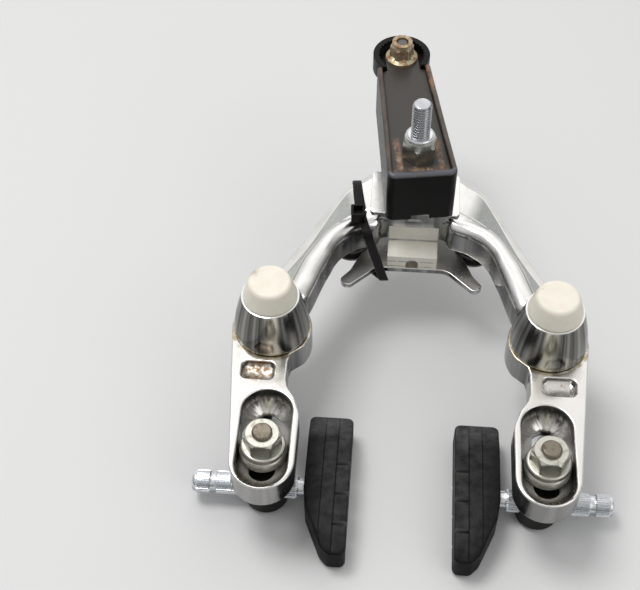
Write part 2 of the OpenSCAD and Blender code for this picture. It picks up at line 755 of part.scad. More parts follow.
module at_eyebolt(side) {
    placed() sided(side) translate([eye_x, eye_y, 0]) children();
}

module along_post(r, x0, x1) {
    translate([x0, 0, -post_drop]) rotate([0, 90, 0]) cylinder(r = r, h = x1 - x0);
}

module eyebolt(side) color("darkgray") at_eyebolt(side) difference() {
    union() {
        bolt_end(thread_r, -post_drop, eyebolt_top);
        rod(eye_r, -post_drop - 5, -post_drop + 5.6);
    }
    along_post(post_r, -20, 20);
}

module post_collar(side) color([0.08, 0.08, 0.08]) at_eyebolt(side) difference() {
    rotate_extrude()
        polygon([[0, collar_low], [collar_r - 1.4, collar_low], [collar_r, collar_low + 1.4],
            [collar_r, arm_low], [0, arm_low]]);
    rod(eye_r, -post_drop - 5, -post_drop + 5.6);
    rod(thread_r + bolt_gap, -post_drop, arm_low + 1);
    along_post(post_r, -20, 20);
}

module lower_washer(side) color("lightgray") at_eyebolt(side) difference() {
    rotate_extrude()
        polygon([[0, recess_floor], [lower_washer_r - 0.5, recess_floor],
            [lower_washer_r, recess_floor + 0.6], [lower_washer_r, nut_base - upper_washer_t - 0.9],
            [lower_washer_r - 0.9, nut_base - upper_washer_t], [0, nut_base - upper_washer_t]]);
    rod(thread_r + bolt_gap, recess_floor - 1, nut_base);
}

module upper_washer(side) color("lightgray") at_eyebolt(side) difference() {
    rotate_extrude()
        polygon([[0, nut_base - upper_washer_t], [upper_washer_r, nut_base - upper_washer_t],
            [upper_washer_r, nut_base - 0.5], [upper_washer_r - 0.5, nut_base], [0, nut_base]]);
    rod(thread_r + bolt_gap, nut_base - upper_washer_t - 1, nut_base + 1);
}

module eyebolt_nut(side) color("darkgray") at_eyebolt(side) difference() {
    hex_prism(nut_flats, nut_base, nut_base + eye_nut_h);
    rod(thread_r, nut_base - 1, nut_base + eye_nut_h + 1);
}

module pad_post(side) color("lightsteelblue") placed() sided(side)
    translate([0, eye_y, -post_drop]) rotate([0, 90, 0]) rotate_extrude()
        polygon([
            [0, pad_back - socket_depth], [neck_r, pad_back - socket_depth],
            [neck_r, pad_back + 1.4], [post_r, pad_back + 2.2],
            [post_r, post_tip - 7.2], [post_r - 0.5, post_tip - 6.8],
            [post_r - 0.5, post_tip - 6.2], [post_r, post_tip - 5.8],
            [post_r, post_tip - 1.2], [post_r - 1.2, post_tip], [0, post_tip]]);

// The pad's plan: a flat braking face, a blunt upper end and a back that tapers downwards
function pad_plan() = concat(
    arc([pad_face + pad_corner_r, pad_high_y - pad_corner_r], pad_corner_r, 180, 90, 3),
    arc([pad_back - pad_corner_r, pad_high_y - pad_corner_r], pad_corner_r, 90, 0, 3),
    [[pad_back, pad_taper_y], [pad_back - 0.9, pad_taper_y - 6]],
    [[pad_back - 5.9, pad_low_y + 2.5], [pad_back - 8.4, pad_low_y]],
    arc([pad_face + pad_corner_r, pad_low_y + pad_corner_r], pad_corner_r, 270, 180, 3));

// The pad seen from the rim, with a sloped facet at each end of its upper side
function pad_side() = let (low = pad_mid_z - pad_h / 2, top = pad_mid_z + pad_h / 2) [
    [pad_low_y, low + 0.8], [pad_low_y + 0.8, low], [pad_high_y - 0.8, low],
    [pad_high_y, low + 0.8], [pad_high_y, top - pad_facet_drop],
    [pad_high_y - pad_facet_l, top], [pad_low_y + pad_facet_l, top],
    [pad_low_y, top - pad_facet_drop]];

module brake_pad(side) color([0.1, 0.1, 0.1]) placed() sided(side) difference() {
    intersection() {
        translate([0, 0, pad_mid_z - pad_h]) linear_extrude(2 * pad_h) polygon(pad_plan());
        rotate([90, 0, 90]) linear_extrude(pad_back + 1) polygon(pad_side());
    }
    for (k = [-1:1]) translate([pad_face, groove_mid_y + k * groove_pitch, pad_mid_z])
        bar([-1, -groove_w / 2, -pad_h], [groove_depth, groove_w / 2, pad_h]);
    translate([0, eye_y, 0]) along_post(neck_r, pad_back - socket_depth, pad_back + 1);
}

arch();
guide_pad();
mounting_bolt();
bracket();
mounting_nut();
mounting_nut_ring();
serrated_cup();
bracket_bolt();
bracket_nut();
cam_plate();
cable_block();
block_rivets();
cable_tie();
arm(-1);  // arm_left
arm(1);  // arm_right
arm_bush(-1);  // arm_bush_left
arm_bush(1);  // arm_bush_right
pivot_bolt(-1);  // pivot_bolt_left
pivot_bolt(1);  // pivot_bolt_right
pivot_washer(-1);  // pivot_washer_left
pivot_washer(1);  // pivot_washer_right
pivot_nut(-1);  // pivot_nut_left
pivot_nut(1);  // pivot_nut_right
pivot_cap(-1);  // pivot_cap_left
pivot_cap(1);  // pivot_cap_right
return_spring(-1);  // return_spring_left
return_spring(1);  // return_spring_right
roller(-1);  // roller_left
roller(1);  // roller_right
roller_pin(-1);  // roller_pin_left
roller_pin(1);  // roller_pin_right
eyebolt(-1);  // eyebolt_left
eyebolt(1);  // eyebolt_right
post_collar(-1);  // post_collar_left
post_collar(1);  // post_collar_right
lower_washer(-1);  // lower_washer_left
lower_washer(1);  // lower_washer_right
upper_washer(-1);  // upper_washer_left
upper_washer(1);  // upper_washer_right
eyebolt_nut(-1);  // eyebolt_nut_left
eyebolt_nut(1);  // eyebolt_nut_right
pad_post(-1);  // pad_post_left
pad_post(1);  // pad_post_right
brake_pad(-1);  // brake_pad_left
brake_pad(1);  // brake_pad_right
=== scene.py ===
"""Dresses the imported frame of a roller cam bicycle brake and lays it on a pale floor.

Each finish is a small class that builds one node material. Each sub-assembly is a class
that holds its sizes and has methods that build its meshes and dress its CAD nodes. New
pieces are worked in millimetres in the brake's own plane, then placed in the row frame.
"""

import logging
import math
from dataclasses import dataclass
from enum import Enum
from typing import Any, Callable, Iterable, Sequence

import bmesh
import bpy
from mathutils import Matrix, Vector


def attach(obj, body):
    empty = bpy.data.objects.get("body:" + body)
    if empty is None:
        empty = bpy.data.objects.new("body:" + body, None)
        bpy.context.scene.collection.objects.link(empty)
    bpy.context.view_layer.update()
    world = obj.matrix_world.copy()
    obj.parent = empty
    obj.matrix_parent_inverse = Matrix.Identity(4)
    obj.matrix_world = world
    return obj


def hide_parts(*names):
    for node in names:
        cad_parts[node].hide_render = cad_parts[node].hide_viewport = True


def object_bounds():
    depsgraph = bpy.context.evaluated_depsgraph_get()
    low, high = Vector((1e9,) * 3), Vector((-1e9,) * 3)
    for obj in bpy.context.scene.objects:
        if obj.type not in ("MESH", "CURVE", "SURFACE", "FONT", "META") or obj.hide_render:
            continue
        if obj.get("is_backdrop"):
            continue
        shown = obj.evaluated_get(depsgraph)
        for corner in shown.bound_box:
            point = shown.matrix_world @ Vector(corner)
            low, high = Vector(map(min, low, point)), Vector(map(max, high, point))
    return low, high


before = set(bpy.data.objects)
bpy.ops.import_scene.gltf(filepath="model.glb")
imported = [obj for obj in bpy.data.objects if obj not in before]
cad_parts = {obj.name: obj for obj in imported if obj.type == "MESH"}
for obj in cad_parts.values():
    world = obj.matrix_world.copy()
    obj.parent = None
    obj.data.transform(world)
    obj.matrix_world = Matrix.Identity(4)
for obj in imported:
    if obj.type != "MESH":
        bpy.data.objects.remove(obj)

logging.basicConfig(level=logging.INFO, format="%(message)s")
log = logging.getLogger("roller_cam_brake")

Flat = tuple[float, float]
Triple = tuple[float, float, float]
Colour = Triple
Station = tuple[float, float, float, float, float, float]

MM = 0.001
NODES: dict[str, bpy.types.Object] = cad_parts


class Side(Enum):
    """The two mirrored halves of the brake."""

    LEFT = -1
    RIGHT = 1

    @property
    def word(self) -> str:
        """The ending that this side's nodes and pieces have."""
        return self.name.lower()

    @property
    def arm_body(self) -> str:
        """The body of this side's arm."""
        return f"arm_{self.word}_body"

    def node(self, stem: str) -> str:
        """The name of this side's node, such as arm_left."""
        return f"{stem}_{self.word}"


class Cut(Enum):
    """What a second shape does to a first one."""

    JOIN = "UNION"
    TAKE = "DIFFERENCE"
    KEEP = "INTERSECT"


@dataclass(frozen=True)
class Place:
    """The brake's own plane inside the row frame, in millimetres.

    The measured sizes have the pivots' line as Y = 0 and the arch's underside as
    Z = 0. The row frame has its origin at the mounting stud.
    """

    pivot_x: float = 42.5
    stud_reach: float = 47.5
    nut_top: float = 39.0
    bracket_turn: float = math.radians(8.7)

    def point(self, x: float, y: float, z: float) -> Vector:
        """A place in the brake's own plane, in the row frame's metres."""
        return Vector((x, y - self.stud_reach, z - self.nut_top)) * MM

    def hub(self, side: Side) -> Vector:
        """A pivot's place in the row frame."""
        return self.point(side.value * self.pivot_x, 0.0, 0.0)

    def height(self, z: float) -> float:
        """The row frame's Z of a height above the arch's underside."""
        return (z - self.nut_top) * MM

    def matrix(self) -> Matrix:
        """The transform from millimetres in the brake's own plane to the row frame."""
        return Matrix.Scale(MM, 4) @ Matrix.Translation((0, -self.stud_reach, -self.nut_top))

    def bracket(self) -> Matrix:
        """The transform from the bracket's own frame to the brake's plane, in millimetres."""
        return (Matrix.Translation((0, self.stud_reach, 0))
                @ Matrix.Rotation(self.bracket_turn, 4, "Z"))


PLACE = Place()


class Nodes:
    """A material's or the world's node tree, with a short call for each kind of node."""

    def __init__(self, name: str, world: bool = False) -> None:
        """Starts a material with a Principled shader, or a world with its background.

        Args:
            name: The material's or the world's name.
            world: Whether it is a world.
        """
        self.owner = (bpy.data.worlds if world else bpy.data.materials).new(name)
        self.owner.use_nodes = True
        self.tree = self.owner.node_tree
        self.shader = self.tree.nodes["Background" if world else "Principled BSDF"]
        self.coords = self.add("TexCoord", {}, "Generated" if world else "Object")

    def add(self, kind: str, inputs: dict[int | str, Any], out: int | str = 0,
            **options: str) -> Any:
        """Adds a node.

        Args:
            kind: The node's type, without ShaderNode.
            inputs: Sockets, numbers or colours, by the names or numbers of the inputs.
            out: The name or number of the output.
            options: The node's own settings, such as its operation.

        Returns:
            The output's socket.
        """
        node = self.tree.nodes.new("ShaderNode" + kind)
        for key, value in options.items():
            setattr(node, key, value)
        for key, value in inputs.items():
            self.feed(value, node.inputs[key])
        return node.outputs[out]

    def feed(self, value: Any, socket: Any) -> None:
        """Links a socket, or writes a number, a vector or a colour, into an input.

        Args:
            value: What goes in.
            socket: The input.
        """
        if isinstance(value, bpy.types.NodeSocket):
            self.tree.links.new(value, socket)
        elif isinstance(value, tuple) and socket.type == "RGBA":
            socket.default_value = (*value, 1.0)
        else:
            socket.default_value = value

    def set(self, **values: Any) -> None:
        """Sets the shader's inputs, with underscores for the spaces in their names."""
        for key, value in values.items():
            self.feed(value, self.shader.inputs[key.replace("_", " ")])

    def stretched(self, scale: Triple, turn: float = 0.0) -> Any:
        """Object coordinates turned about Z and scaled, for streaks and brushing."""
        return self.add("Mapping", {"Vector": self.coords, "Scale": scale,
                                    "Rotation": (0.0, 0.0, turn)})

    def noise(self, scale: float, detail: float = 4.0, rough: float = 0.5,
              vector: Any = None) -> Any:
        """Noise from 0 to 1, with its waves a metre, its octaves and how strong the fine ones are."""
        return self.add("TexNoise", {"Scale": scale, "Detail": detail, "Roughness": rough,
                                     "Vector": vector or self.coords}, "Fac")

    def ramp(self, value: Any, low: float, high: float, start: float = 0.0,
             end: float = 1.0) -> Any:
        """Maps a value from low..high to start..end, held at both ends."""
        return self.add("MapRange", {"Value": value, "From Min": low, "From Max": high,
                                     "To Min": start, "To Max": end}, "Result")

    def mix(self, fac: Any, a: Any, b: Any) -> Any:
        """Mixes two colours, each a socket or three numbers."""
        return self.add("Mix", {0: fac, 6: a, 7: b}, 2, data_type="RGBA")

    def maths(self, kind: str, a: Any, b: Any = 0.0) -> Any:
        """One Math node, whose inputs are sockets or numbers."""
        return self.add("Math", {0: a, 1: b}, operation=kind)

    def all_of(self, *masks: Any) -> Any:
        """The product of several masks.

        Args:
            masks: The masks' sockets.

        Returns:
            The product's socket.
        """
        out = masks[0]
        for mask in masks[1:]:
            out = self.maths("MULTIPLY", out, mask)
        return out

    def split(self, vector: Any = None) -> tuple[Any, Any, Any]:
        """The X, Y and Z of a vector, or of the coordinates."""
        return tuple(self.add("SeparateXYZ", {0: vector or self.coords}).node.outputs)

    def near(self, centre: Vector, radius: float, soft: float, flat: bool = False) -> Any:
        """1 inside a ball round centre and 0 outside, with a soft edge.

        Args:
            centre: The ball's middle in metres.
            radius: The ball's radius in millimetres.
            soft: The width of its edge in millimetres.
            flat: Whether it is an upright cylinder instead of a ball.

        Returns:
            The mask's socket.
        """
        away = self.add("VectorMath", {
            0: self.stretched((1.0, 1.0, 0.0)) if flat else self.coords,
            1: (centre.x, centre.y, 0.0 if flat else centre.z),
        }, "Value", operation="DISTANCE")
        return self.ramp(away, radius * MM, (radius + soft) * MM, 1.0, 0.0)

    def facing(self) -> tuple[Any, Any, Any]:
        """The sockets of the X, Y and Z of a face's normal, from -1 to 1."""
        return self.split(self.add("NewGeometry", {}, "Normal"))

    def edges(self, low: float = 0.52, high: float = 0.62) -> Any:
        """1 on the mesh's sharp outer edges and 0 elsewhere."""
        return self.ramp(self.add("NewGeometry", {}, "Pointiness"), low, high)

    def bump(self, height: Any, strength: float, distance: float) -> None:
        """Feeds a height into the shader's normal, after any bump that is there.

        Args:
            height: The height's socket.
            strength: From 0 to 1.
            distance: The height's range in metres.
        """
        inputs = {"Strength": strength, "Distance": distance, "Height": height}
        old = self.shader.inputs["Normal"].links
        if old:
            inputs["Normal"] = old[0].from_socket
        self.set(Normal=self.add("Bump", inputs, "Normal"))


@dataclass(frozen=True)
class Stain:
    """A patch of dirt, rust or bare metal that noise breaks up."""

    at: Triple
    radius: float
    soft: float
    colour: Colour
    start: float = 0.45
    scale: float = 420.0

    def mask(self, n: Nodes) -> Any:
        """The patch's mask in a material."""
        grain = n.ramp(n.noise(self.scale, 8.0, 0.75), self.start, self.start + 0.14)
        return n.all_of(n.near(PLACE.point(*self.at), self.radius, self.soft), grain)


@dataclass(frozen=True)
class Forging:
    """Forged alloy: bright polished tops, and walls painted dark by their facing with upright streaks,
    as painted shade and reflection.
    """

    name: str
    top: Colour = (0.90, 0.89, 0.87)
    haze: Colour = (0.72, 0.71, 0.69)
    wall_shade: Colour = (0.42, 0.42, 0.42)
    wall_deep_shade: Colour = (0.07, 0.07, 0.075)
    rough: Flat = (0.12, 0.26)
    wall_rough: float = 0.14
    valley: Flat | None = None
    domes: bool = False
    foot_ring_reflection: bool = False
    stains: tuple[Stain, ...] = ()

    def build(self) -> bpy.types.Material:
        """Builds the material.

        Returns:
            The finished material.
        """
        n = Nodes(self.name)
        up = n.facing()[2]
        # Painted shade and reflection: faces that look sideways get a dark streaked colour, and upward
        # faces get the bright top colour.
        top = n.ramp(up, 0.18, 0.62)
        cloud = n.noise(140.0, 5.0, 0.55)
        reflection_streak = n.ramp(n.noise(1.0, 3.0, 0.55, n.stretched((230.0, 230.0, 9.0))), 0.40, 0.62)
        colour = n.mix(top, n.mix(reflection_streak, self.wall_deep_shade, self.wall_shade),
                       n.mix(n.ramp(cloud, 0.42, 0.72), self.top, self.haze))
        rough = n.maths("ADD", n.ramp(cloud, 0.35, 0.7, *self.rough),
                        n.ramp(top, 0.0, 1.0, self.wall_rough - self.rough[0], 0.0))
        if self.valley:
            low = n.split()[2]
            level = n.all_of(n.ramp(low, PLACE.height(self.valley[0]),
                                    PLACE.height(self.valley[1]), 1.0, 0.0),
                             n.ramp(up, 0.955, 0.985))
            grit = n.noise(900.0, 6.0, 0.7)
            colour = n.mix(level, colour, n.mix(grit, (0.25, 0.26, 0.25), (0.48, 0.485, 0.46)))
            rough = n.maths("ADD", rough, n.ramp(level, 0.0, 1.0, 0.0, 0.14))
        if self.domes:
            colour = self.dome_reflections(n, colour, up)
        if self.foot_ring_reflection:
            # A painted beige reflection on the arm's top round each dome's foot.
            for side in Side:
                hub = PLACE.hub(side)
                ring = n.all_of(n.near(hub, 12.6, 0.5, flat=True), n.ramp(up, 0.4, 0.8),
                                n.ramp(n.noise(500.0, 6.0, 0.7), 0.38, 0.55))
                colour = n.mix(ring, colour, (0.50, 0.42, 0.27))
        for stain in self.stains:
            mask = stain.mask(n)
            colour = n.mix(mask, colour, stain.colour)
            rough = n.maths("ADD", rough, n.ramp(mask, 0.0, 1.0, 0.0, 0.3))
        # Painted highlight: the mesh's sharp outer edges are painted near white.
        n.set(Base_Color=n.mix(n.edges(), colour, (0.97, 0.96, 0.94)), Metallic=1.0,
              Roughness=rough)
        n.bump(n.noise(1.0, 4.0, 0.6, n.stretched((900.0, 900.0, 60.0))), 0.12, 0.00003)
        pits = n.add("TexVoronoi", {"Vector": n.coords, "Scale": 330.0}, "Distance")
        n.bump(n.ramp(pits, 0.0, 0.10), 0.25, 0.00006)
        return n.owner

    def dome_reflections(self, n: Nodes, colour: Any, up: Any) -> Any:
        """Paints upright reflection streaks on the domes' walls, with one broad pale painted
        reflection in front.

        Args:
            n: The material's nodes.
            colour: The colour below them.
            up: How far the faces look up.

        Returns:
            The colour's socket.
        """
        x, y, _ = n.split()
        off = n.maths("SUBTRACT", n.maths("ABSOLUTE", x), PLACE.pivot_x * MM)
        angle = n.maths("ARCTAN2", n.maths("ADD", y, PLACE.stud_reach * MM), off)
        ring = self.near_domes(n)
        wall_shade = n.all_of(ring, n.ramp(up, 0.30, 0.55, 1.0, 0.0))
        reflection_streak = n.ramp(n.noise(3.2, 4.0, 0.6, n.add("CombineXYZ", {0: angle})), 0.42, 0.60)
        # A broad pale painted reflection on the side of each dome that faces the front.
        front = n.ramp(n.maths("ABSOLUTE", n.maths("ADD", angle, math.radians(98.0))),
                       0.10, 0.24, 1.0, 0.0)
        tone = n.mix(front, n.mix(reflection_streak, (0.045, 0.045, 0.045), (0.30, 0.295, 0.27)),
                     (0.74, 0.71, 0.62))
        return n.mix(wall_shade, colour, tone)

    def near_domes(self, n: Nodes) -> Any:
        """1 within the two domes' reach and 0 elsewhere."""
        return n.maths("MAXIMUM", *(n.near(PLACE.hub(side), 11.9, 0.3, flat=True) for side in Side))


@dataclass(frozen=True)
class Plating:
    """Zinc or nickel plating that has aged, with spots of another tone or of rust, sides that can be
    painted darker as painted shade, and edges that can be painted bright as a painted highlight.
    """

    name: str
    colour: Colour
    spots: Colour
    spots_from: float = 0.58
    rough: Flat = (0.25, 0.45)
    metal: float = 0.95
    grain: float = 700.0
    wall_shade: Colour | None = None
    edge: Colour | None = None

    def build(self) -> bpy.types.Material:
        """Builds the material.

        Returns:
            The finished material.
        """
        n = Nodes(self.name)
        cloud = n.noise(self.grain, 5.0, 0.65)
        spot = n.ramp(n.noise(420.0, 8.0, 0.7), self.spots_from, self.spots_from + 0.12)
        colour: Any = self.colour
        # Painted shade: faces that look sideways get the darker side colour.
        if self.wall_shade:
            colour = n.mix(n.ramp(n.facing()[2], 0.15, 0.5), self.wall_shade, colour)
        # Painted highlight: the mesh's sharp outer edges get the bright edge colour.
        if self.edge:
            colour = n.mix(n.edges(), colour, self.edge)
        n.set(
            Base_Color=n.mix(spot, colour, self.spots),
            Metallic=n.ramp(spot, 0.0, 1.0, self.metal, self.metal * 0.5),
            Roughness=n.ramp(cloud, 0.3, 0.7, *self.rough),
        )
        n.bump(cloud, 0.08, 0.00003)
        return n.owner


@dataclass(frozen=True)
class BlackPaint:
    """Semi-gloss black paint on steel, worn brown at its rims, which also carry a painted highlight,
    with a painted lighter web and a painted highlight on the front edge, and rusty round the nut.
    """

    name: str
    colour: Colour = (0.0045, 0.0042, 0.004)
    web: Colour = (0.040, 0.034, 0.029)
    rim: Colour = (0.115, 0.085, 0.064)
    front_edge_highlight: Colour = (0.095, 0.098, 0.112)
    rust: Colour = (0.25, 0.125, 0.07)
    scale_rust: Colour = (0.40, 0.32, 0.23)
    rim_low: float = 30.9
    rusty_corner: Triple = (8.5, 36.0, 31.0)

    def build(self) -> bpy.types.Material:
        """Builds the material.

        Returns:
            The finished material.
        """
        n = Nodes(self.name)
        across, along, height = n.split(n.stretched((1.0, 1.0, 1.0), -PLACE.bracket_turn))
        facing = n.facing()[2]
        up = n.ramp(facing, 0.25, 0.8)
        high = n.ramp(height, PLACE.height(self.rim_low), PLACE.height(self.rim_low + 0.4))
        # Painted light: the web's upward faces get the lighter web colour, while the walls keep the
        # black.
        low = n.all_of(up, n.ramp(high, 0.0, 1.0, 1.0, 0.0))
        front = n.ramp(along, -8.4 * MM, -8.0 * MM, 1.0, 0.0)
        patchy = n.noise(1.0, 7.0, 0.7, n.stretched((500.0, 120.0, 300.0), -PLACE.bracket_turn))
        # The rims' upward faces are painted lighter brown, partly worn paint and partly a painted
        # highlight along the bends.
        rim_wear_and_highlight = n.all_of(up, high, n.ramp(patchy, 0.35, 0.6, 0.35, 1.0))
        colour = n.mix(rim_wear_and_highlight, n.mix(low, self.colour, self.web), self.rim)
        # A painted bluish-grey highlight along the front wall's upper edge.
        colour = n.mix(n.all_of(n.ramp(facing, 0.15, 0.75), front, high), colour,
                       self.front_edge_highlight)
        corner = PLACE.point(*(PLACE.bracket() @ Vector(self.rusty_corner)))
        far = n.all_of(n.near(corner, 5.0, 6.0), n.ramp(n.noise(500.0, 7.0, 0.72), 0.44, 0.56))
        colour = n.mix(n.all_of(far, high), colour, self.rust)
        ring = n.all_of(self.nut_ring(n, n.maths("ABSOLUTE", across), along), low)
        grain = n.noise(1.0, 8.0, 0.75, n.stretched((620.0, 260.0, 400.0), -PLACE.bracket_turn))
        patch = n.all_of(ring, n.ramp(grain, 0.38, 0.62))
        pale = n.all_of(ring, n.ramp(n.noise(560.0, 7.0, 0.7), 0.48, 0.66, 0.0, 0.8))
        n.set(
            Base_Color=n.mix(pale, n.mix(patch, colour, self.rust), self.scale_rust),
            Roughness=n.maths("ADD", n.ramp(n.noise(500.0, 5.0, 0.6), 0.3, 0.7, 0.28, 0.42),
                              n.ramp(patch, 0.0, 1.0, 0.0, 0.4)),
            Specular_IOR_Level=n.ramp(facing, 0.05, 0.6, 0.14, 0.5),
        )
        n.bump(n.noise(1100.0, 6.0, 0.7), 0.10, 0.00006)
        return n.owner

    def nut_ring(self, n: Nodes, away: Any, along: Any) -> Any:
        """The rusty patches at both sides of the nut and in front of it.

        Args:
            n: The material's nodes.
            away: The distance from the bracket's middle line.
            along: The place along the bracket.

        Returns:
            The mask's socket.
        """
        sides = n.all_of(n.ramp(away, 5.2 * MM, 5.9 * MM),
                         n.ramp(away, 6.8 * MM, 7.8 * MM, 1.0, 0.0),
                         n.ramp(along, -8.0 * MM, -6.0 * MM),
                         n.ramp(along, 4.0 * MM, 8.5 * MM, 1.0, 0.0))
        before = n.all_of(n.ramp(away, 2.0 * MM, 6.5 * MM, 1.0, 0.4),
                          n.ramp(along, -8.6 * MM, -8.0 * MM),
                          n.ramp(along, -6.8 * MM, -5.0 * MM, 1.0, 0.0))
        return n.maths("MAXIMUM", sides, before)


@dataclass(frozen=True)
class Nylon:
    """Moulded nylon or plastic with faint mottling, grime lines and stains."""

    name: str
    colour: Colour
    shade: Colour
    grime: Colour
    grime_from: float = 0.66
    rough: Flat = (0.38, 0.55)
    glow: float = 0.0
    sheen: float = 0.5
    lines: tuple[float, ...] = ()
    stains: tuple[Stain, ...] = ()

    def build(self) -> bpy.types.Material:
        """Builds the material.

        Returns:
            The finished material.
        """
        n = Nodes(self.name)
        cloud = n.noise(300.0, 4.0, 0.6)
        dirt = n.ramp(n.noise(520.0, 9.0, 0.78), self.grime_from, self.grime_from + 0.1)
        colour = n.mix(dirt, n.mix(n.ramp(cloud, 0.35, 0.7), self.colour, self.shade), self.grime)
        height = n.split()[2]
        broken = n.noise(1.0, 6.0, 0.7, n.stretched((260.0, 260.0, 40.0)))
        for line in self.lines:
            middle = PLACE.height(line)
            off = n.maths("ABSOLUTE", n.maths("SUBTRACT", height, middle))
            mark = n.all_of(n.ramp(off, 0.06 * MM, 0.2 * MM, 1.0, 0.0), n.ramp(broken, 0.4, 0.5))
            colour = n.mix(mark, colour, self.grime)
        for stain in self.stains:
            colour = n.mix(stain.mask(n), colour, stain.colour)
        n.set(
            Base_Color=colour,
            Roughness=n.ramp(cloud, 0.3, 0.7, *self.rough),
            Specular_IOR_Level=self.sheen,
            Subsurface_Weight=self.glow,
            Subsurface_Scale=0.002,
        )
        n.bump(n.noise(1500.0, 5.0, 0.6), 0.10, 0.00006)
        return n.owner


@dataclass(frozen=True)
class Rubber:
    """Matte black brake rubber, with painted light grey on faces that look up and back, and dusty grey
    where it was rubbed.
    """

    name: str
    colour: Colour = (0.0045, 0.0045, 0.005)
    dust_and_lit_grey: Colour = (0.085, 0.082, 0.082)
    groove_face: Colour = (0.20, 0.20, 0.20)

    def build(self) -> bpy.types.Material:
        """Builds the material.

        Returns:
            The finished material.
        """
        n = Nodes(self.name)
        cloud = n.noise(300.0, 7.0, 0.68)
        _, back, up = n.facing()
        x, y, _ = n.split()
        # Painted light: faces that look up, most of all those that also look back, get a light grey as
        # if lit.
        lit_slope = n.all_of(n.ramp(up, 0.4, 0.8), n.ramp(back, 0.08, 0.2, 0.1, 1.0))
        lit_facet = n.all_of(lit_slope, n.ramp(cloud, 0.35, 0.7, 0.25, 1.0))
        rubbed = n.all_of(n.edges(0.53, 0.66), n.ramp(cloud, 0.35, 0.6, 0.2, 0.8))
        grooves = n.all_of(n.ramp(back, -0.95, -0.7, 1.0, 0.0),
                           n.ramp(n.maths("ABSOLUTE", x), 20.2 * MM, 20.4 * MM, 1.0, 0.0),
                           n.ramp(y, PLACE.point(0, -60.0, 0).y, PLACE.point(0, -59.0, 0).y),
                           n.ramp(y, PLACE.point(0, -34.0, 0).y, PLACE.point(0, -33.0, 0).y,
                                  1.0, 0.0))
        colour = n.mix(rubbed, n.mix(lit_facet, self.colour, self.dust_and_lit_grey), self.dust_and_lit_grey)
        n.set(
            Base_Color=n.mix(grooves, colour, self.groove_face),
            Roughness=n.ramp(cloud, 0.3, 0.7, 0.42, 0.6),
            Specular_IOR_Level=n.ramp(lit_facet, 0.0, 1.0, 0.08, 0.4),
        )
        n.bump(n.noise(2200.0, 5.0, 0.7), 0.22, 0.00006)
        return n.owner


IVORY_GRIME: Colour = (0.34, 0.27, 0.17)
PALE_ALLOY: Colour = (0.84, 0.82, 0.78)
OLD_GREASE: Colour = (0.30, 0.22, 0.13)
RUST_BROWN: Colour = (0.30, 0.20, 0.11)


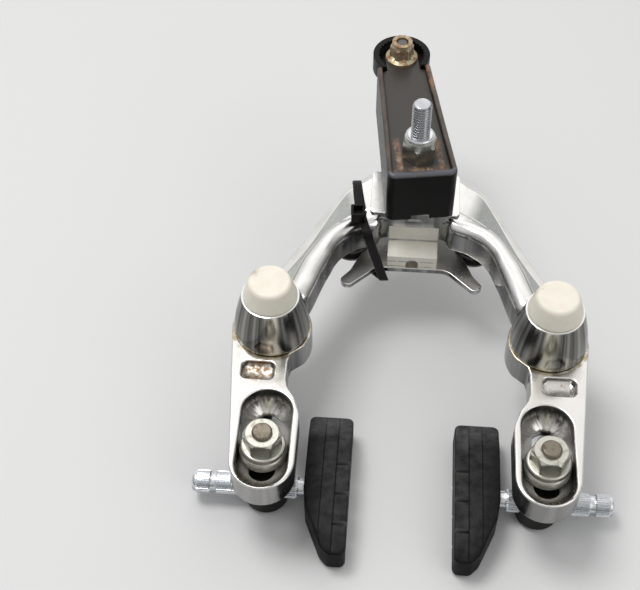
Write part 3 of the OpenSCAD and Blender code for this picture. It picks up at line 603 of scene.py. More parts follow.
class Finishes:
    """Every finish of the brake, built once."""

    def __init__(self) -> None:
        """Builds the materials."""
        self.arch = Forging("arch_polish", top=(0.96, 0.945, 0.915), haze=(0.86, 0.84, 0.80),
                            wall_shade=(0.27, 0.27, 0.265), wall_deep_shade=(0.09, 0.09, 0.095),
                            valley=(10.0, 10.4), domes=True).build()
        self.arm = Forging(
            "arm_satin", top=(0.91, 0.885, 0.85), haze=(0.85, 0.82, 0.78),
            wall_shade=(0.26, 0.26, 0.255), wall_deep_shade=(0.10, 0.10, 0.105), rough=(0.20, 0.32),
            foot_ring_reflection=True, stains=(
                *(Stain((x, y, -3.5), 6.6, 1.2, PALE_ALLOY, 0.25)
                  for x in (-41.0, 41.0) for y in (-36.5, -45.5)),
                Stain((-41.0, -51.5, -5.5), 3.5, 5.0, OLD_GREASE, 0.50),
                Stain((41.0, -51.5, -5.5), 3.5, 5.0, OLD_GREASE, 0.52),
                Stain((-45.2, -16.5, -2.8), 3.8, 1.6, RUST_BROWN, 0.40, 700.0),
                Stain((45.2, -16.5, -2.8), 3.8, 1.6, OLD_GREASE, 0.54, 700.0),
            )).build()
        self.cam = Forging("cam_satin", top=(0.90, 0.87, 0.82), haze=(0.76, 0.73, 0.68),
                           rough=(0.26, 0.38), wall_shade=(0.30, 0.30, 0.30)).build()
        self.stud = Plating("stud_zinc", (0.42, 0.43, 0.45), (0.5, 0.5, 0.48), spots_from=0.70,
                            rough=(0.18, 0.30), edge=(0.95, 0.97, 1.0)).build()
        self.nut = Plating("nut_zinc", (0.62, 0.61, 0.55), (0.40, 0.37, 0.28), spots_from=0.52,
                           rough=(0.28, 0.42), wall_shade=(0.30, 0.31, 0.27)).build()
        self.lock_nut = Plating("lock_nut_zinc", (0.60, 0.60, 0.57), (0.38, 0.33, 0.24),
                                spots_from=0.62, rough=(0.22, 0.38),
                                wall_shade=(0.36, 0.37, 0.33)).build()
        self.washer = Plating("washer_zinc", (0.66, 0.65, 0.58), (0.50, 0.46, 0.36),
                              spots_from=0.55, rough=(0.28, 0.45),
                              wall_shade=(0.42, 0.42, 0.37)).build()
        self.bolt_end = Plating("bolt_end", (0.24, 0.21, 0.165), (0.13, 0.10, 0.07),
                                spots_from=0.5, rough=(0.35, 0.55)).build()
        self.rusty = Plating("rusty_zinc", (0.56, 0.50, 0.34), (0.33, 0.17, 0.09),
                             spots_from=0.46, rough=(0.35, 0.6), metal=0.8).build()
        self.dark = Plating("dark_steel", (0.16, 0.155, 0.15), (0.12, 0.09, 0.07),
                            spots_from=0.6).build()
        self.spring = Plating("spring_steel", (0.4, 0.41, 0.43), (0.2, 0.16, 0.12),
                              spots_from=0.66).build()
        self.post = Plating("post_zinc", (0.82, 0.84, 0.86), (0.62, 0.64, 0.64), spots_from=0.60,
                            rough=(0.20, 0.36), wall_shade=(0.46, 0.51, 0.57)).build()
        self.bronze = Plating("bush_bronze", (0.60, 0.40, 0.20), (0.3, 0.2, 0.1),
                              spots_from=0.66).build()
        self.paint = BlackPaint("bracket_paint").build()
        self.ivory = Nylon(
            "ivory_nylon", (0.88, 0.835, 0.73), (0.84, 0.785, 0.67), IVORY_GRIME,
            grime_from=0.72, glow=0.15, stains=(
                Stain((-48.0, 3.5, 20.5), 0.8, 2.4, IVORY_GRIME, 0.42, 900.0),
                Stain((37.2, 3.0, 19.5), 0.8, 2.6, IVORY_GRIME, 0.46, 900.0),
            )).build()
        self.block = Nylon("block_nylon", (0.87, 0.84, 0.76), (0.80, 0.77, 0.68),
                           (0.16, 0.13, 0.09), grime_from=0.66, glow=0.1, lines=(-2.6, -4.9)).build()
        self.black = Nylon("black_nylon", (0.006, 0.0057, 0.0057), (0.012, 0.0105, 0.0095),
                           (0.05, 0.038, 0.028), grime_from=0.70, rough=(0.30, 0.45),
                           sheen=0.14).build()
        self.rubber = Rubber("pad_rubber").build()


def dress(material: bpy.types.Material, *names: str) -> None:
    """Gives a finish to CAD nodes that keep their own shape.

    Args:
        material: The finish.
        names: The nodes' names.
    """
    for name in names:
        mesh = NODES[name].data
        mesh.materials.clear()
        mesh.materials.append(material)
    log.info("dressed %s", ", ".join(names))


def placed(name: str, data: Any) -> bpy.types.Object:
    """Makes an object at the origin of the scene.

    Args:
        name: The object's name.
        data: Its mesh, lamp or camera.

    Returns:
        The object.
    """
    obj = bpy.data.objects.new(name, data)
    bpy.context.scene.collection.objects.link(obj)
    return obj


def emptied(bm: bmesh.types.BMesh, name: str) -> bpy.types.Mesh:
    """Turns a bmesh into a mesh.

    Args:
        bm: The bmesh, which is used up.
        name: The mesh's name.

    Returns:
        The mesh.
    """
    mesh = bpy.data.meshes.new(name)
    bm.to_mesh(mesh)
    bm.free()
    return mesh


class Piece:
    """One visible mesh, worked in millimetres in the brake's own plane."""

    def __init__(self, name: str) -> None:
        """Starts an empty piece of this name."""
        self.name = name
        self.bm = bmesh.new()

    @classmethod
    def copied(cls, node: str, name: str = "", level: bool = True) -> "Piece":
        """Starts from a merged copy of a CAD node's mesh.

        Args:
            node: The CAD node.
            name: The piece's name, or the node's name with an ending.
            level: Whether the level faces, which can have holes, are joined too.

        Returns:
            The piece, with its flat faces joined.
        """
        piece = cls(name or f"{node}_finished")
        bm = piece.bm
        bm.from_mesh(NODES[node].data)
        bmesh.ops.transform(bm, matrix=PLACE.matrix().inverted(), verts=bm.verts)
        bmesh.ops.remove_doubles(bm, verts=bm.verts, dist=0.002)
        bm.normal_update()
        edges = [e for e in bm.edges
                 if level or any(abs(f.normal.z) < 0.99 for f in e.link_faces)]
        bmesh.ops.dissolve_limit(bm, angle_limit=math.radians(0.5),
                                 verts=bm.verts if level else [], edges=edges)
        return piece

    def tidied(self) -> "Piece":
        """Merges doubles and turns all faces outwards.

        Returns:
            The piece.
        """
        bmesh.ops.remove_doubles(self.bm, verts=self.bm.verts, dist=0.0008)
        bmesh.ops.recalc_face_normals(self.bm, faces=self.bm.faces)
        return self

    def soften(self, width: float, segments: int = 2, sharp: float = 28.0,
               keep: Callable[[bmesh.types.BMEdge], bool] | None = None) -> "Piece":
        """Rounds the outward edges that are sharper than an angle.

        Args:
            width: The bevel's width in millimetres.
            segments: The bevel's segments.
            sharp: The angle in degrees.
            keep: Which of those edges to round, or all of them.

        Returns:
            The piece.
        """
        edges = [e for e in self.bm.edges if len(e.link_faces) == 2 and e.is_convex
                 and math.degrees(e.calc_face_angle()) > sharp and (keep is None or keep(e))]
        bmesh.ops.bevel(self.bm, geom=edges, offset=width, offset_type="OFFSET",
                        segments=segments, profile=0.5, affect="EDGES", material=-1,
                        clamp_overlap=False)
        return self

    def turn(self, profile: Sequence[Flat], at: Flat = (0.0, 0.0), steps: int = 72) -> "Piece":
        """Turns a profile of radius and height about an upright axis.

        Args:
            profile: The radii and heights, in order, in millimetres.
            at: The axis's place.
            steps: How many steps make the full turn.

        Returns:
            The piece.
        """
        verts = [self.bm.verts.new((at[0] + r, at[1], z)) for r, z in profile]
        edges = [self.bm.edges.new(pair) for pair in zip(verts, verts[1:])]
        if profile[0][0] > 0.0:
            edges.append(self.bm.edges.new((verts[-1], verts[0])))
        bmesh.ops.spin(self.bm, geom=verts + edges, cent=(*at, 0.0), axis=(0.0, 0.0, 1.0),
                       angle=math.tau, steps=steps, use_merge=True)
        return self.tidied()

    def raise_outline(self, outline: Sequence[Flat], low: float, high: float) -> "Piece":
        """Extrudes a flat outline upwards.

        Args:
            outline: The outline's corners in order.
            low: The height of the underside.
            high: The height of the top.

        Returns:
            The piece.
        """
        face = self.bm.faces.new([self.bm.verts.new((x, y, low)) for x, y in outline])
        grown = bmesh.ops.extrude_face_region(self.bm, geom=[face])["geom"]
        bmesh.ops.translate(self.bm, verts=[v for v in grown if isinstance(v, bmesh.types.BMVert)],
                            vec=(0.0, 0.0, high - low))
        return self.tidied()

    def loft(self, rings: Sequence[Sequence[Vector]], closed: bool = False) -> "Piece":
        """Bridges rings of points, and fills both ends unless the loft runs round.

        Args:
            rings: The rings, each with the same count of points.
            closed: Whether the last ring joins the first.

        Returns:
            The piece.
        """
        loops = []
        for ring in rings:
            verts = [self.bm.verts.new(p) for p in ring]
            loops.append([self.bm.edges.new((a, b)) for a, b in zip(verts, verts[1:] + verts[:1])])
        for first, second in zip(loops, loops[1:] + (loops[:1] if closed else [])):
            bmesh.ops.bridge_loops(self.bm, edges=first + second)
        if not closed:
            for end in (loops[0], loops[-1]):
                bmesh.ops.contextual_create(self.bm, geom=end)
        bmesh.ops.recalc_face_normals(self.bm, faces=self.bm.faces)
        return self

    def block(self, low: Triple, high: Triple) -> "Piece":
        """Adds a box.

        Args:
            low: Its lowest corner.
            high: Its highest corner.

        Returns:
            The piece.
        """
        size = [b - a for a, b in zip(low, high)]
        middle = [(a + b) / 2 for a, b in zip(low, high)]
        matrix = Matrix.Translation(middle) @ Matrix.Diagonal((*size, 1.0))
        bmesh.ops.create_cube(self.bm, size=1.0, matrix=matrix)
        return self

    def thread(self, at: Flat, radius: float, low: float, high: float, pitch: float = 1.0,
               depth: float = 0.6, chamfer: float = 0.7) -> "Piece":
        """Adds a right-hand screw thread with a chamfered end.

        Args:
            at: The axis's place.
            radius: The thread's outer radius.
            low: Where it starts.
            high: Where it ends.
            pitch: The rise of one turn.
            depth: The depth of the groove.
            chamfer: The height of the end's chamfer.

        Returns:
            The piece.
        """
        steps, root = 36, radius - depth
        turns = math.ceil((high - low) / pitch) + 2
        tooth = ((root, 0.0), (root, 0.1), (radius, 0.42), (radius, 0.58), (root, 0.9),
                 (root, 1.0))
        bm = bmesh.new()
        start = [bm.verts.new((r, 0.0, low + (z - 1.5) * pitch)) for r, z in tooth]
        edges = [bm.edges.new(pair) for pair in zip(start, start[1:])]
        bmesh.ops.spin(bm, geom=start + edges, cent=(0, 0, 0), axis=(0, 0, 1),
                       angle=math.tau * turns, steps=steps * turns,
                       dvec=(0, 0, pitch / steps))
        bmesh.ops.remove_doubles(bm, verts=bm.verts, dist=0.002)
        for height, sign in ((low, -1.0), (high, 1.0)):
            cut = bmesh.ops.bisect_plane(bm, geom=bm.verts[:] + bm.edges[:] + bm.faces[:],
                                         plane_co=(0, 0, height), plane_no=(0, 0, sign),
                                         clear_outer=True)["geom_cut"]
            bmesh.ops.contextual_create(
                bm, geom=[e for e in cut if isinstance(e, bmesh.types.BMEdge)])
        for vert in bm.verts:
            reach = math.hypot(vert.co.x, vert.co.y)
            most = radius - max(0.0, vert.co.z - (high - chamfer))
            if reach > most:
                vert.co.xy *= most / reach
        bmesh.ops.recalc_face_normals(bm, faces=bm.faces)
        bmesh.ops.translate(bm, verts=bm.verts, vec=(*at, 0.0))
        return self.absorb(bm)

    def absorb(self, bm: bmesh.types.BMesh) -> "Piece":
        """Adds another shape to this piece.

        Args:
            bm: The shape, which is used up.

        Returns:
            The piece.
        """
        mesh = emptied(bm, "part")
        self.bm.from_mesh(mesh)
        bpy.data.meshes.remove(mesh)
        return self

    def move(self, matrix: Matrix) -> "Piece":
        """Moves all of the piece, and turns its faces outwards if it was mirrored.

        Args:
            matrix: The move.

        Returns:
            The piece.
        """
        bmesh.ops.transform(self.bm, matrix=matrix, verts=self.bm.verts)
        if matrix.determinant() < 0.0:
            bmesh.ops.reverse_faces(self.bm, faces=self.bm.faces)
        return self

    def sided(self, side: Side) -> "Piece":
        """Mirrors a piece that was drawn for the right side, where the side is the left."""
        return self.move(Matrix.Scale(-1.0, 4, (1, 0, 0))) if side is Side.LEFT else self

    def combine(self, other: "Piece", how: Cut) -> "Piece":
        """Joins, takes away or keeps what this piece shares with another.

        Args:
            other: The other piece, which is used up.
            how: What is done.

        Returns:
            The piece.
        """
        objects = [placed("part", emptied(piece.bm, "part")) for piece in (self, other)]
        modifier = objects[0].modifiers.new("combine", "BOOLEAN")
        modifier.operation = how.value
        modifier.object = objects[1]
        modifier.solver = "EXACT"
        evaluated = objects[0].evaluated_get(bpy.context.evaluated_depsgraph_get())
        self.bm = bmesh.new()
        self.bm.from_mesh(evaluated.to_mesh())
        evaluated.to_mesh_clear()
        for obj in objects:
            mesh = obj.data
            bpy.data.objects.remove(obj)
            bpy.data.meshes.remove(mesh)
        bmesh.ops.remove_doubles(self.bm, verts=self.bm.verts, dist=0.001)
        bmesh.ops.dissolve_degenerate(self.bm, edges=self.bm.edges, dist=0.001)
        return self

    def finish(self, material: bpy.types.Material, body: str, slot: str, *nodes: str,
               sharp: float = 34.0) -> bpy.types.Object:
        """Makes the object, in the row frame, and says what it rides on and replaces.

        Args:
            material: The finish.
            body: The CAD body that carries it.
            slot: A material slot's name, which is not used.
            nodes: The CAD nodes that it stands for.
            sharp: The angle in degrees from which an edge is shaded crisp.

        Returns:
            The finished object.
        """
        self.move(PLACE.matrix())
        for face in self.bm.faces:
            face.smooth = True
        mesh = emptied(self.bm, self.name)
        mesh.set_sharp_from_angle(angle=math.radians(sharp))
        mesh.materials.append(material)
        obj = placed(self.name, mesh)
        weighted = obj.modifiers.new("weighted_normals", "WEIGHTED_NORMAL")
        weighted.keep_sharp = True
        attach(obj, body)
        if nodes:
            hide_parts(*nodes)
        log.info("%s: %d faces on %s", self.name, len(mesh.polygons), body)
        return obj


def arc(centre: Flat, radius: float, start: float, end: float, steps: int = 8) -> list[Flat]:
    """Points of an arc from one angle to another, in degrees."""
    turn = [math.radians(start + (end - start) * i / steps) for i in range(steps + 1)]
    return [(centre[0] + radius * math.cos(a), centre[1] + radius * math.sin(a)) for a in turn]


def round_box(low: Flat, high: Flat, radius: float, steps: int = 6) -> list[Flat]:
    """A rectangle with round corners, anticlockwise from its lower right corner."""
    corners = ((high[0] - radius, low[1] + radius, -90.0), (high[0] - radius, high[1] - radius, 0.0),
               (low[0] + radius, high[1] - radius, 90.0), (low[0] + radius, low[1] + radius, 180.0))
    return [p for x, y, a in corners for p in arc((x, y), radius, a, a + 90.0, steps)]


def upright(edge: bmesh.types.BMEdge) -> bool:
    """Whether an edge stands upright and is long, as a nut's corners do."""
    run = edge.verts[1].co - edge.verts[0].co
    return run.length > 1.2 and abs(run.z) > 0.98 * run.length


@dataclass
class Arch:
    """The forged arch with its domes, its raised pad and the nylon pad in its wall."""

    finish: Finishes
    wall_y: float = 38.3
    rib_r: float = 3.4
    rib_widening: Triple = (21.0, 12.0, 0.16)
    edge_w: float = 3.6
    edge_drop: float = 1.6
    dome_foot_r: float = 11.65
    dome_rim_r: float = 8.9
    dome_h: float = 15.4
    arch_h: float = 12.0
    land_half: float = 14.3
    land_reach: Flat = (-8.8, 9.5)
    spring_hole: Flat = (7.45, 11.4)
    head_hole: Flat = (6.08, 5.0)
    bolt_hole_r: float = 3.2
    pad_hole: Triple = (8.1, 2.6, 6.0)
    steps_between: int = 7
    stations: tuple[Station, ...] = (
        (0.0, 38.3, 0.0, 60.5, 11.4, 11.4),
        (9.5, 38.3, 12.5, 59.0, 11.4, 11.4),
        (11.9, 34.9, 18.0, 55.8, 11.0, 11.0),
        (17.4, 32.7, 22.8, 53.0, 10.9, 9.6),
        (21.7, 29.4, 27.4, 45.2, 11.4, 8.7),
        (24.3, 25.6, 31.4, 37.4, 11.4, 8.2),
        (26.2, 20.5, 35.4, 29.2, 11.4, 8.2),
        (28.0, 15.4, 39.2, 22.2, 11.4, 8.2),
        (31.2, 5.0, 44.5, 12.0, 11.4, 8.2),
        (33.9, 2.0, 46.0, 2.0, 10.4, 8.2),
    )

    def build(self) -> None:
        """Makes the forging and its pad."""
        body = Piece("arch_forging").loft(self.rings())
        land = Piece("land").raise_outline(
            round_box((-self.land_half, PLACE.stud_reach + self.land_reach[0]),
                      (self.land_half, PLACE.stud_reach + self.land_reach[1]), 1.5, 4),
            1.0, self.arch_h)
        land.soften(0.3, sharp=60.0, keep=lambda e: e.verts[0].co.z > self.arch_h - 0.1)
        body.combine(land, Cut.JOIN)
        for side in Side:
            body.combine(self.dome(side), Cut.JOIN)
        body.combine(self.hollows(), Cut.TAKE)
        body.finish(self.finish.arch, "arch_body", "polished_alloy", "arch", sharp=30.0)
        Piece.copied("guide_pad").soften(0.25).finish(
            self.finish.block, "arch_body", "ivory_nylon", "guide_pad")

    def rings(self) -> list[list[Vector]]:
        """The loft's sections.

        Returns:
            The sections from the right end to the left end.
        """
        last = len(self.stations) - 1
        count = last * self.steps_between
        return [self.section(self.station(-k / self.steps_between))
                for k in range(-count, count + 1)]

    def station(self, u: float) -> Station:
        """The smoothed station at u, where 0 is the middle of the arch.

        Args:
            u: The place along the arch, negative on the far side of the middle.

        Returns:
            The station's six measures.
        """
        last = len(self.stations) - 1

        def at(i: int) -> Station:
            """The station of a number, mirrored past the middle."""
            s = self.stations[min(abs(i), last)]
            return (-s[0], s[1], -s[2], s[3], s[4], s[5]) if i < 0 else s

        i = math.floor(u)
        t = u - i
        out = []
        for a, b, c, d in zip(at(i - 1), at(i), at(i + 1), at(i + 2)):
            out.append(b + 0.5 * t * (c - a + t * (2 * a - 5 * b + 4 * c - d
                                                   + t * (3 * (b - c) + d - a))))
        return tuple(out)

    def section(self, s: Station) -> list[Vector]:
        """The arch's section at a station, with a round rib and a chamfered outer edge.

        Args:
            s: The station.

        Returns:
            The section's points.
        """
        inner, outer = Vector(s[:2]), Vector(s[2:4])
        width = (outer - inner).length
        across = (outer - inner) / width
        start, run, gain = self.rib_widening
        broad = 1.0 + gain * min(1.0, max(0.0, (abs(s[0]) - start) / run))
        r, rib, band = self.rib_r, s[4], s[5]
        middle = rib - r
        drop = self.edge_drop
        profile = [(0.9, 0.0), (0.25, 0.25), (0.0, 0.9), (0.0, middle * 0.5), (0.0, middle)]
        profile += [(x * broad, max(z, band) if x > r else z)
                    for x, z in arc((r, middle), r, 170.0, 20.0, 10)]
        foot = 2 * r * broad
        profile += [(foot + 0.1, max(band, middle + 0.9)), (foot + 0.5, band + 0.12),
                    (foot + 0.9, band), (max(foot + 1.1, width - self.edge_w - 0.5), band),
                    (width - self.edge_w, band - 0.04), (width - self.edge_w + 0.4, band - 0.22),
                    (width - 1.1, band - drop + 0.32), (width - 0.6, band - drop + 0.02),
                    (width - 0.2, band - drop - 0.4), (width, band - drop - 1.0),
                    (width, 0.9), (width - 0.25, 0.25), (width - 0.9, 0.0)]
        return [Vector((*(inner + across * x), z)) for x, z in profile]

    def dome(self, side: Side) -> Piece:
        """One hollow pivot dome, swelling towards its foot.

        Args:
            side: The side it is on.

        Returns:
            The solid dome.
        """
        foot, rim, top = self.dome_foot_r, self.dome_rim_r, self.dome_h
        swell = [(foot - (foot - rim) * t ** 1.5, 0.5 + (top - 0.9) * t)
                 for t in (i / 16 for i in range(17))]
        profile = [(0.0, 0.0), (foot - 0.5, 0.0), (foot - 0.12, 0.14), *swell,
                   (rim - 0.12, top - 0.12), (rim - 0.45, top), (0.0, top)]
        return Piece("dome").turn(profile, (side.value * PLACE.pivot_x, 0.0), steps=96)

    def hollows(self) -> Piece:
        """What is cut from the forging.

        Returns:
            The domes' cavities and the recesses for the bolt's head and the pad.
        """
        cut = Piece("hollows")
        for (r, h), at, end in ((self.spring_hole, (-PLACE.pivot_x, 0.0), 16.0),
                                (self.spring_hole, (PLACE.pivot_x, 0.0), 16.0),
                                (self.head_hole, (0.0, PLACE.stud_reach), 13.0)):
            cut.turn([(0.0, -1.0), (r, -1.0), (r, h), (self.bolt_hole_r, h),
                      (self.bolt_hole_r, end), (0.0, end)], at, steps=48)
        half, deep, high = self.pad_hole
        return cut.block((-half, self.wall_y - 1.0, -1.0), (half, self.wall_y + deep, high))


@dataclass
class Arm:
    """One arm with its bush, its pivot's fasteners and cap, and the roller on its leg."""

    finish: Finishes
    side: Side
    recess_floor: float = -5.5

    def build(self) -> None:
        """Makes the arm's pieces."""
        side, body = self.side, self.side.arm_body
        Piece.copied(side.node("arm"), level=False).soften(
            0.55, segments=3, sharp=50.0, keep=self.above_recess).finish(
                self.finish.arm, body, "polished_alloy", side.node("arm"), sharp=40.0)
        Piece.copied(side.node("pivot_cap")).soften(0.45, segments=3, sharp=20.0).finish(
            self.finish.ivory, "arch_body", "ivory_nylon", side.node("pivot_cap"))
        dress(self.finish.bronze, side.node("arm_bush"))
        dress(self.finish.spring, side.node("return_spring"))
        dress(self.finish.nut, side.node("pivot_nut"))
        for stem, on, slot in (("pivot_bolt", "arch_body", "dark_steel"),
                               ("pivot_washer", "arch_body", "dark_steel"),
                               ("roller_pin", body, "dark_steel"),
                               ("roller", f"roller_{side.word}_body", "dark_steel")):
            Piece.copied(side.node(stem)).soften(0.15, sharp=40.0).finish(
                self.finish.dark, on, slot, side.node(stem))

    def above_recess(self, edge: bmesh.types.BMEdge) -> bool:
        """Whether an edge lies off the recess's floor, whose slot keeps its crisp rim."""
        return any(abs(v.co.z - self.recess_floor) > 0.01 for v in edge.verts)


@dataclass
class PadClamp:
    """One pad's eyebolt with its washers and nut, the black collar and the knurled post."""

    finish: Finishes
    side: Side
    post_y: float = -42.3
    post_z: float = -24.2
    post_r: float = 3.5
    knurl_depth: float = 0.32
    knurl_teeth: int = 30
    smooth_ends: float = 0.35
    bands: tuple[Flat, ...] = ((31.7, 56.2), (57.8, 62.2))

    def build(self) -> None:
        """Makes the clamp's pieces."""
        side, body = self.side, self.side.arm_body
        Piece.copied(side.node("post_collar")).soften(0.3, sharp=40.0).finish(
            self.finish.black, body, "black_nylon", side.node("post_collar"))
        for stem, width in (("lower_washer", 0.3), ("upper_washer", 0.25)):
            Piece.copied(side.node(stem)).soften(width, sharp=25.0).finish(
                self.finish.washer, body, "aged_zinc", side.node(stem))
        Piece.copied(side.node("eyebolt_nut")).soften(0.3, sharp=50.0, keep=upright).finish(
            self.finish.nut, body, "aged_zinc", side.node("eyebolt_nut"), sharp=25.0)
        Piece.copied(side.node("eyebolt")).soften(0.15, sharp=40.0).finish(
            self.finish.bolt_end, body, "aged_zinc", side.node("eyebolt"))
        Piece(f"pad_post_{side.word}_knurled").loft(self.post_rings()).sided(side).finish(
            self.finish.post, body, "post_zinc", side.node("pad_post"), sharp=28.0)

    def post_rings(self) -> list[list[Vector]]:
        """The post's skin, with straight teeth on the knurled bands.

        Returns:
            The rings from its inner end.
        """
        (a, b), (c, d) = self.bands
        r, e = self.post_r, self.smooth_ends
        low = r - self.knurl_depth
        rows = [(25.35, 2.6, 0.0), (25.6, 2.8, 0.0), (30.6, 2.8, 0.0), (a - 0.3, low, 0.0),
                (a + e, low, self.knurl_depth), (b - e, low, self.knurl_depth), (b, low - 0.1, 0.0),
                (b + 0.25, r - 0.5, 0.0), (c - 0.25, r - 0.5, 0.0), (c, low - 0.1, 0.0),
                (c + e, low, self.knurl_depth), (d - e, low, self.knurl_depth), (d, low, 0.0),
                (d + 0.15, low, 0.0), (62.9, 2.95, 0.0), (63.3, 2.6, 0.0), (63.5, 2.1, 0.0)]
        return [[self.point(x, r0 + (rise if k % 4 in (1, 2) else 0.0), k)
                 for k in range(4 * self.knurl_teeth)] for x, r0, rise in rows]

    def point(self, x: float, radius: float, k: int) -> Vector:
        """A point of the post's skin."""
        a = math.tau * k / (4 * self.knurl_teeth)
        return Vector((x, self.post_y + radius * math.cos(a), self.post_z + radius * math.sin(a)))


@dataclass
class BrakePad:
    """One rubber pad with a blunt upper end, sloped facets, grooves and moulding seams."""

    finish: Finishes
    side: Side
    face: float = 15.7
    back: float = 29.3
    low_y: float = -65.4
    high_y: float = -18.4
    taper_y: float = -45.3
    low_z: float = -29.95
    high_z: float = -18.45
    corner_r: float = 2.0
    facet: Flat = (10.0, 2.6)
    groove: Flat = (4.2, 1.3)
    groove_rows: tuple[float, ...] = (-56.5, -46.5, -36.5)
    seams: tuple[Flat, ...] = ((19.95, 0.22), (24.0, 0.16))

    def build(self) -> None:
        """Makes the pad."""
        pad = Piece(f"brake_pad_{self.side.word}_moulded").raise_outline(
            self.plan(), self.low_z - 1.0, self.high_z + 1.0)
        pad.combine(self.profile(10.0, 35.0), Cut.KEEP)
        bmesh.ops.dissolve_limit(pad.bm, angle_limit=math.radians(0.5), verts=pad.bm.verts,
                                 edges=pad.bm.edges)
        pad.soften(0.75, segments=3, sharp=20.0, keep=lambda e: e.calc_length() > 0.05)
        for y in self.groove_rows:
            pad.combine(Piece("groove").block(
                (self.face - 1.0, y - self.groove[1] / 2, self.low_z - 1.0),
                (self.face + self.groove[0], y + self.groove[1] / 2, self.high_z + 1.0)), Cut.TAKE)
        for x, half in self.seams:
            pad.combine(self.lid(x - half, x + half), Cut.TAKE)
        pad.sided(self.side).finish(self.finish.rubber, self.side.arm_body, "rubber",
                                    self.side.node("brake_pad"), sharp=30.0)

    def plan(self) -> list[Flat]:
        """The pad's outline, seen from above."""
        r, lo, hi, b = self.corner_r, self.low_y, self.high_y, self.back
        return [*arc((self.face + r, hi - r), r, 180.0, 90.0, 5),
                *arc((b - r, hi - r), r, 90.0, 0.0, 5),
                (b, self.taper_y), (b - 0.9, self.taper_y - 6.0), (b - 5.9, lo + 2.5),
                (b - 8.4, lo), *arc((self.face + r, lo + r), r, 270.0, 180.0, 5)]

    def side_view(self, inset: float) -> list[Flat]:
        """The upper line of the pad's side view.

        Args:
            inset: How far it is lowered.

        Returns:
            The line from the high end to the low end.
        """
        run, drop = self.facet
        top = self.high_z - inset
        return [(self.high_y, top - drop), (self.high_y - run, top), (self.low_y + run, top),
                (self.low_y, top - drop)]

    def profile(self, x0: float, x1: float) -> Piece:
        """The pad's side view as a solid from x0 to x1."""
        outline = [(self.low_y, self.low_z), (self.high_y, self.low_z), *self.side_view(0.0)]
        return self.across(outline, x0, x1)

    def lid(self, x0: float, x1: float) -> Piece:
        """A thin solid over the pad that cuts a seam into its upper side.

        Args:
            x0: Where it starts.
            x1: Where it ends.

        Returns:
            The cutter.
        """
        line = self.side_view(0.28)
        first, last = line[0], line[-1]
        outline = [(last[0] - 1.0, last[1] - 0.39), (last[0] - 1.0, self.high_z + 1.0),
                   (first[0] + 1.0, self.high_z + 1.0), (first[0] + 1.0, first[1] - 0.39), *line]
        return self.across(outline, x0, x1)

    def across(self, outline: Sequence[Flat], x0: float, x1: float) -> Piece:
        """Extrudes a side view across the pad."""
        turn = Matrix(((0, 0, 1, 0), (1, 0, 0, 0), (0, 1, 0, 0), (0, 0, 0, 1)))
        return Piece("side_view").raise_outline(outline, x0, x1).move(turn).tidied()


@dataclass
class CamUnit:
    """The cam plate and the nylon block that the cable pulls."""

    finish: Finishes

    def build(self) -> None:
        """Makes the cam's pieces."""
        Piece.copied("cam_plate").soften(0.32, segments=3, sharp=40.0).finish(
            self.finish.cam, "cam_body", "satin_alloy", "cam_plate")
        Piece.copied("cable_block").soften(0.25, sharp=40.0).finish(
            self.finish.block, "cam_body", "ivory_nylon", "cable_block")
        dress(self.finish.washer, "block_rivets")


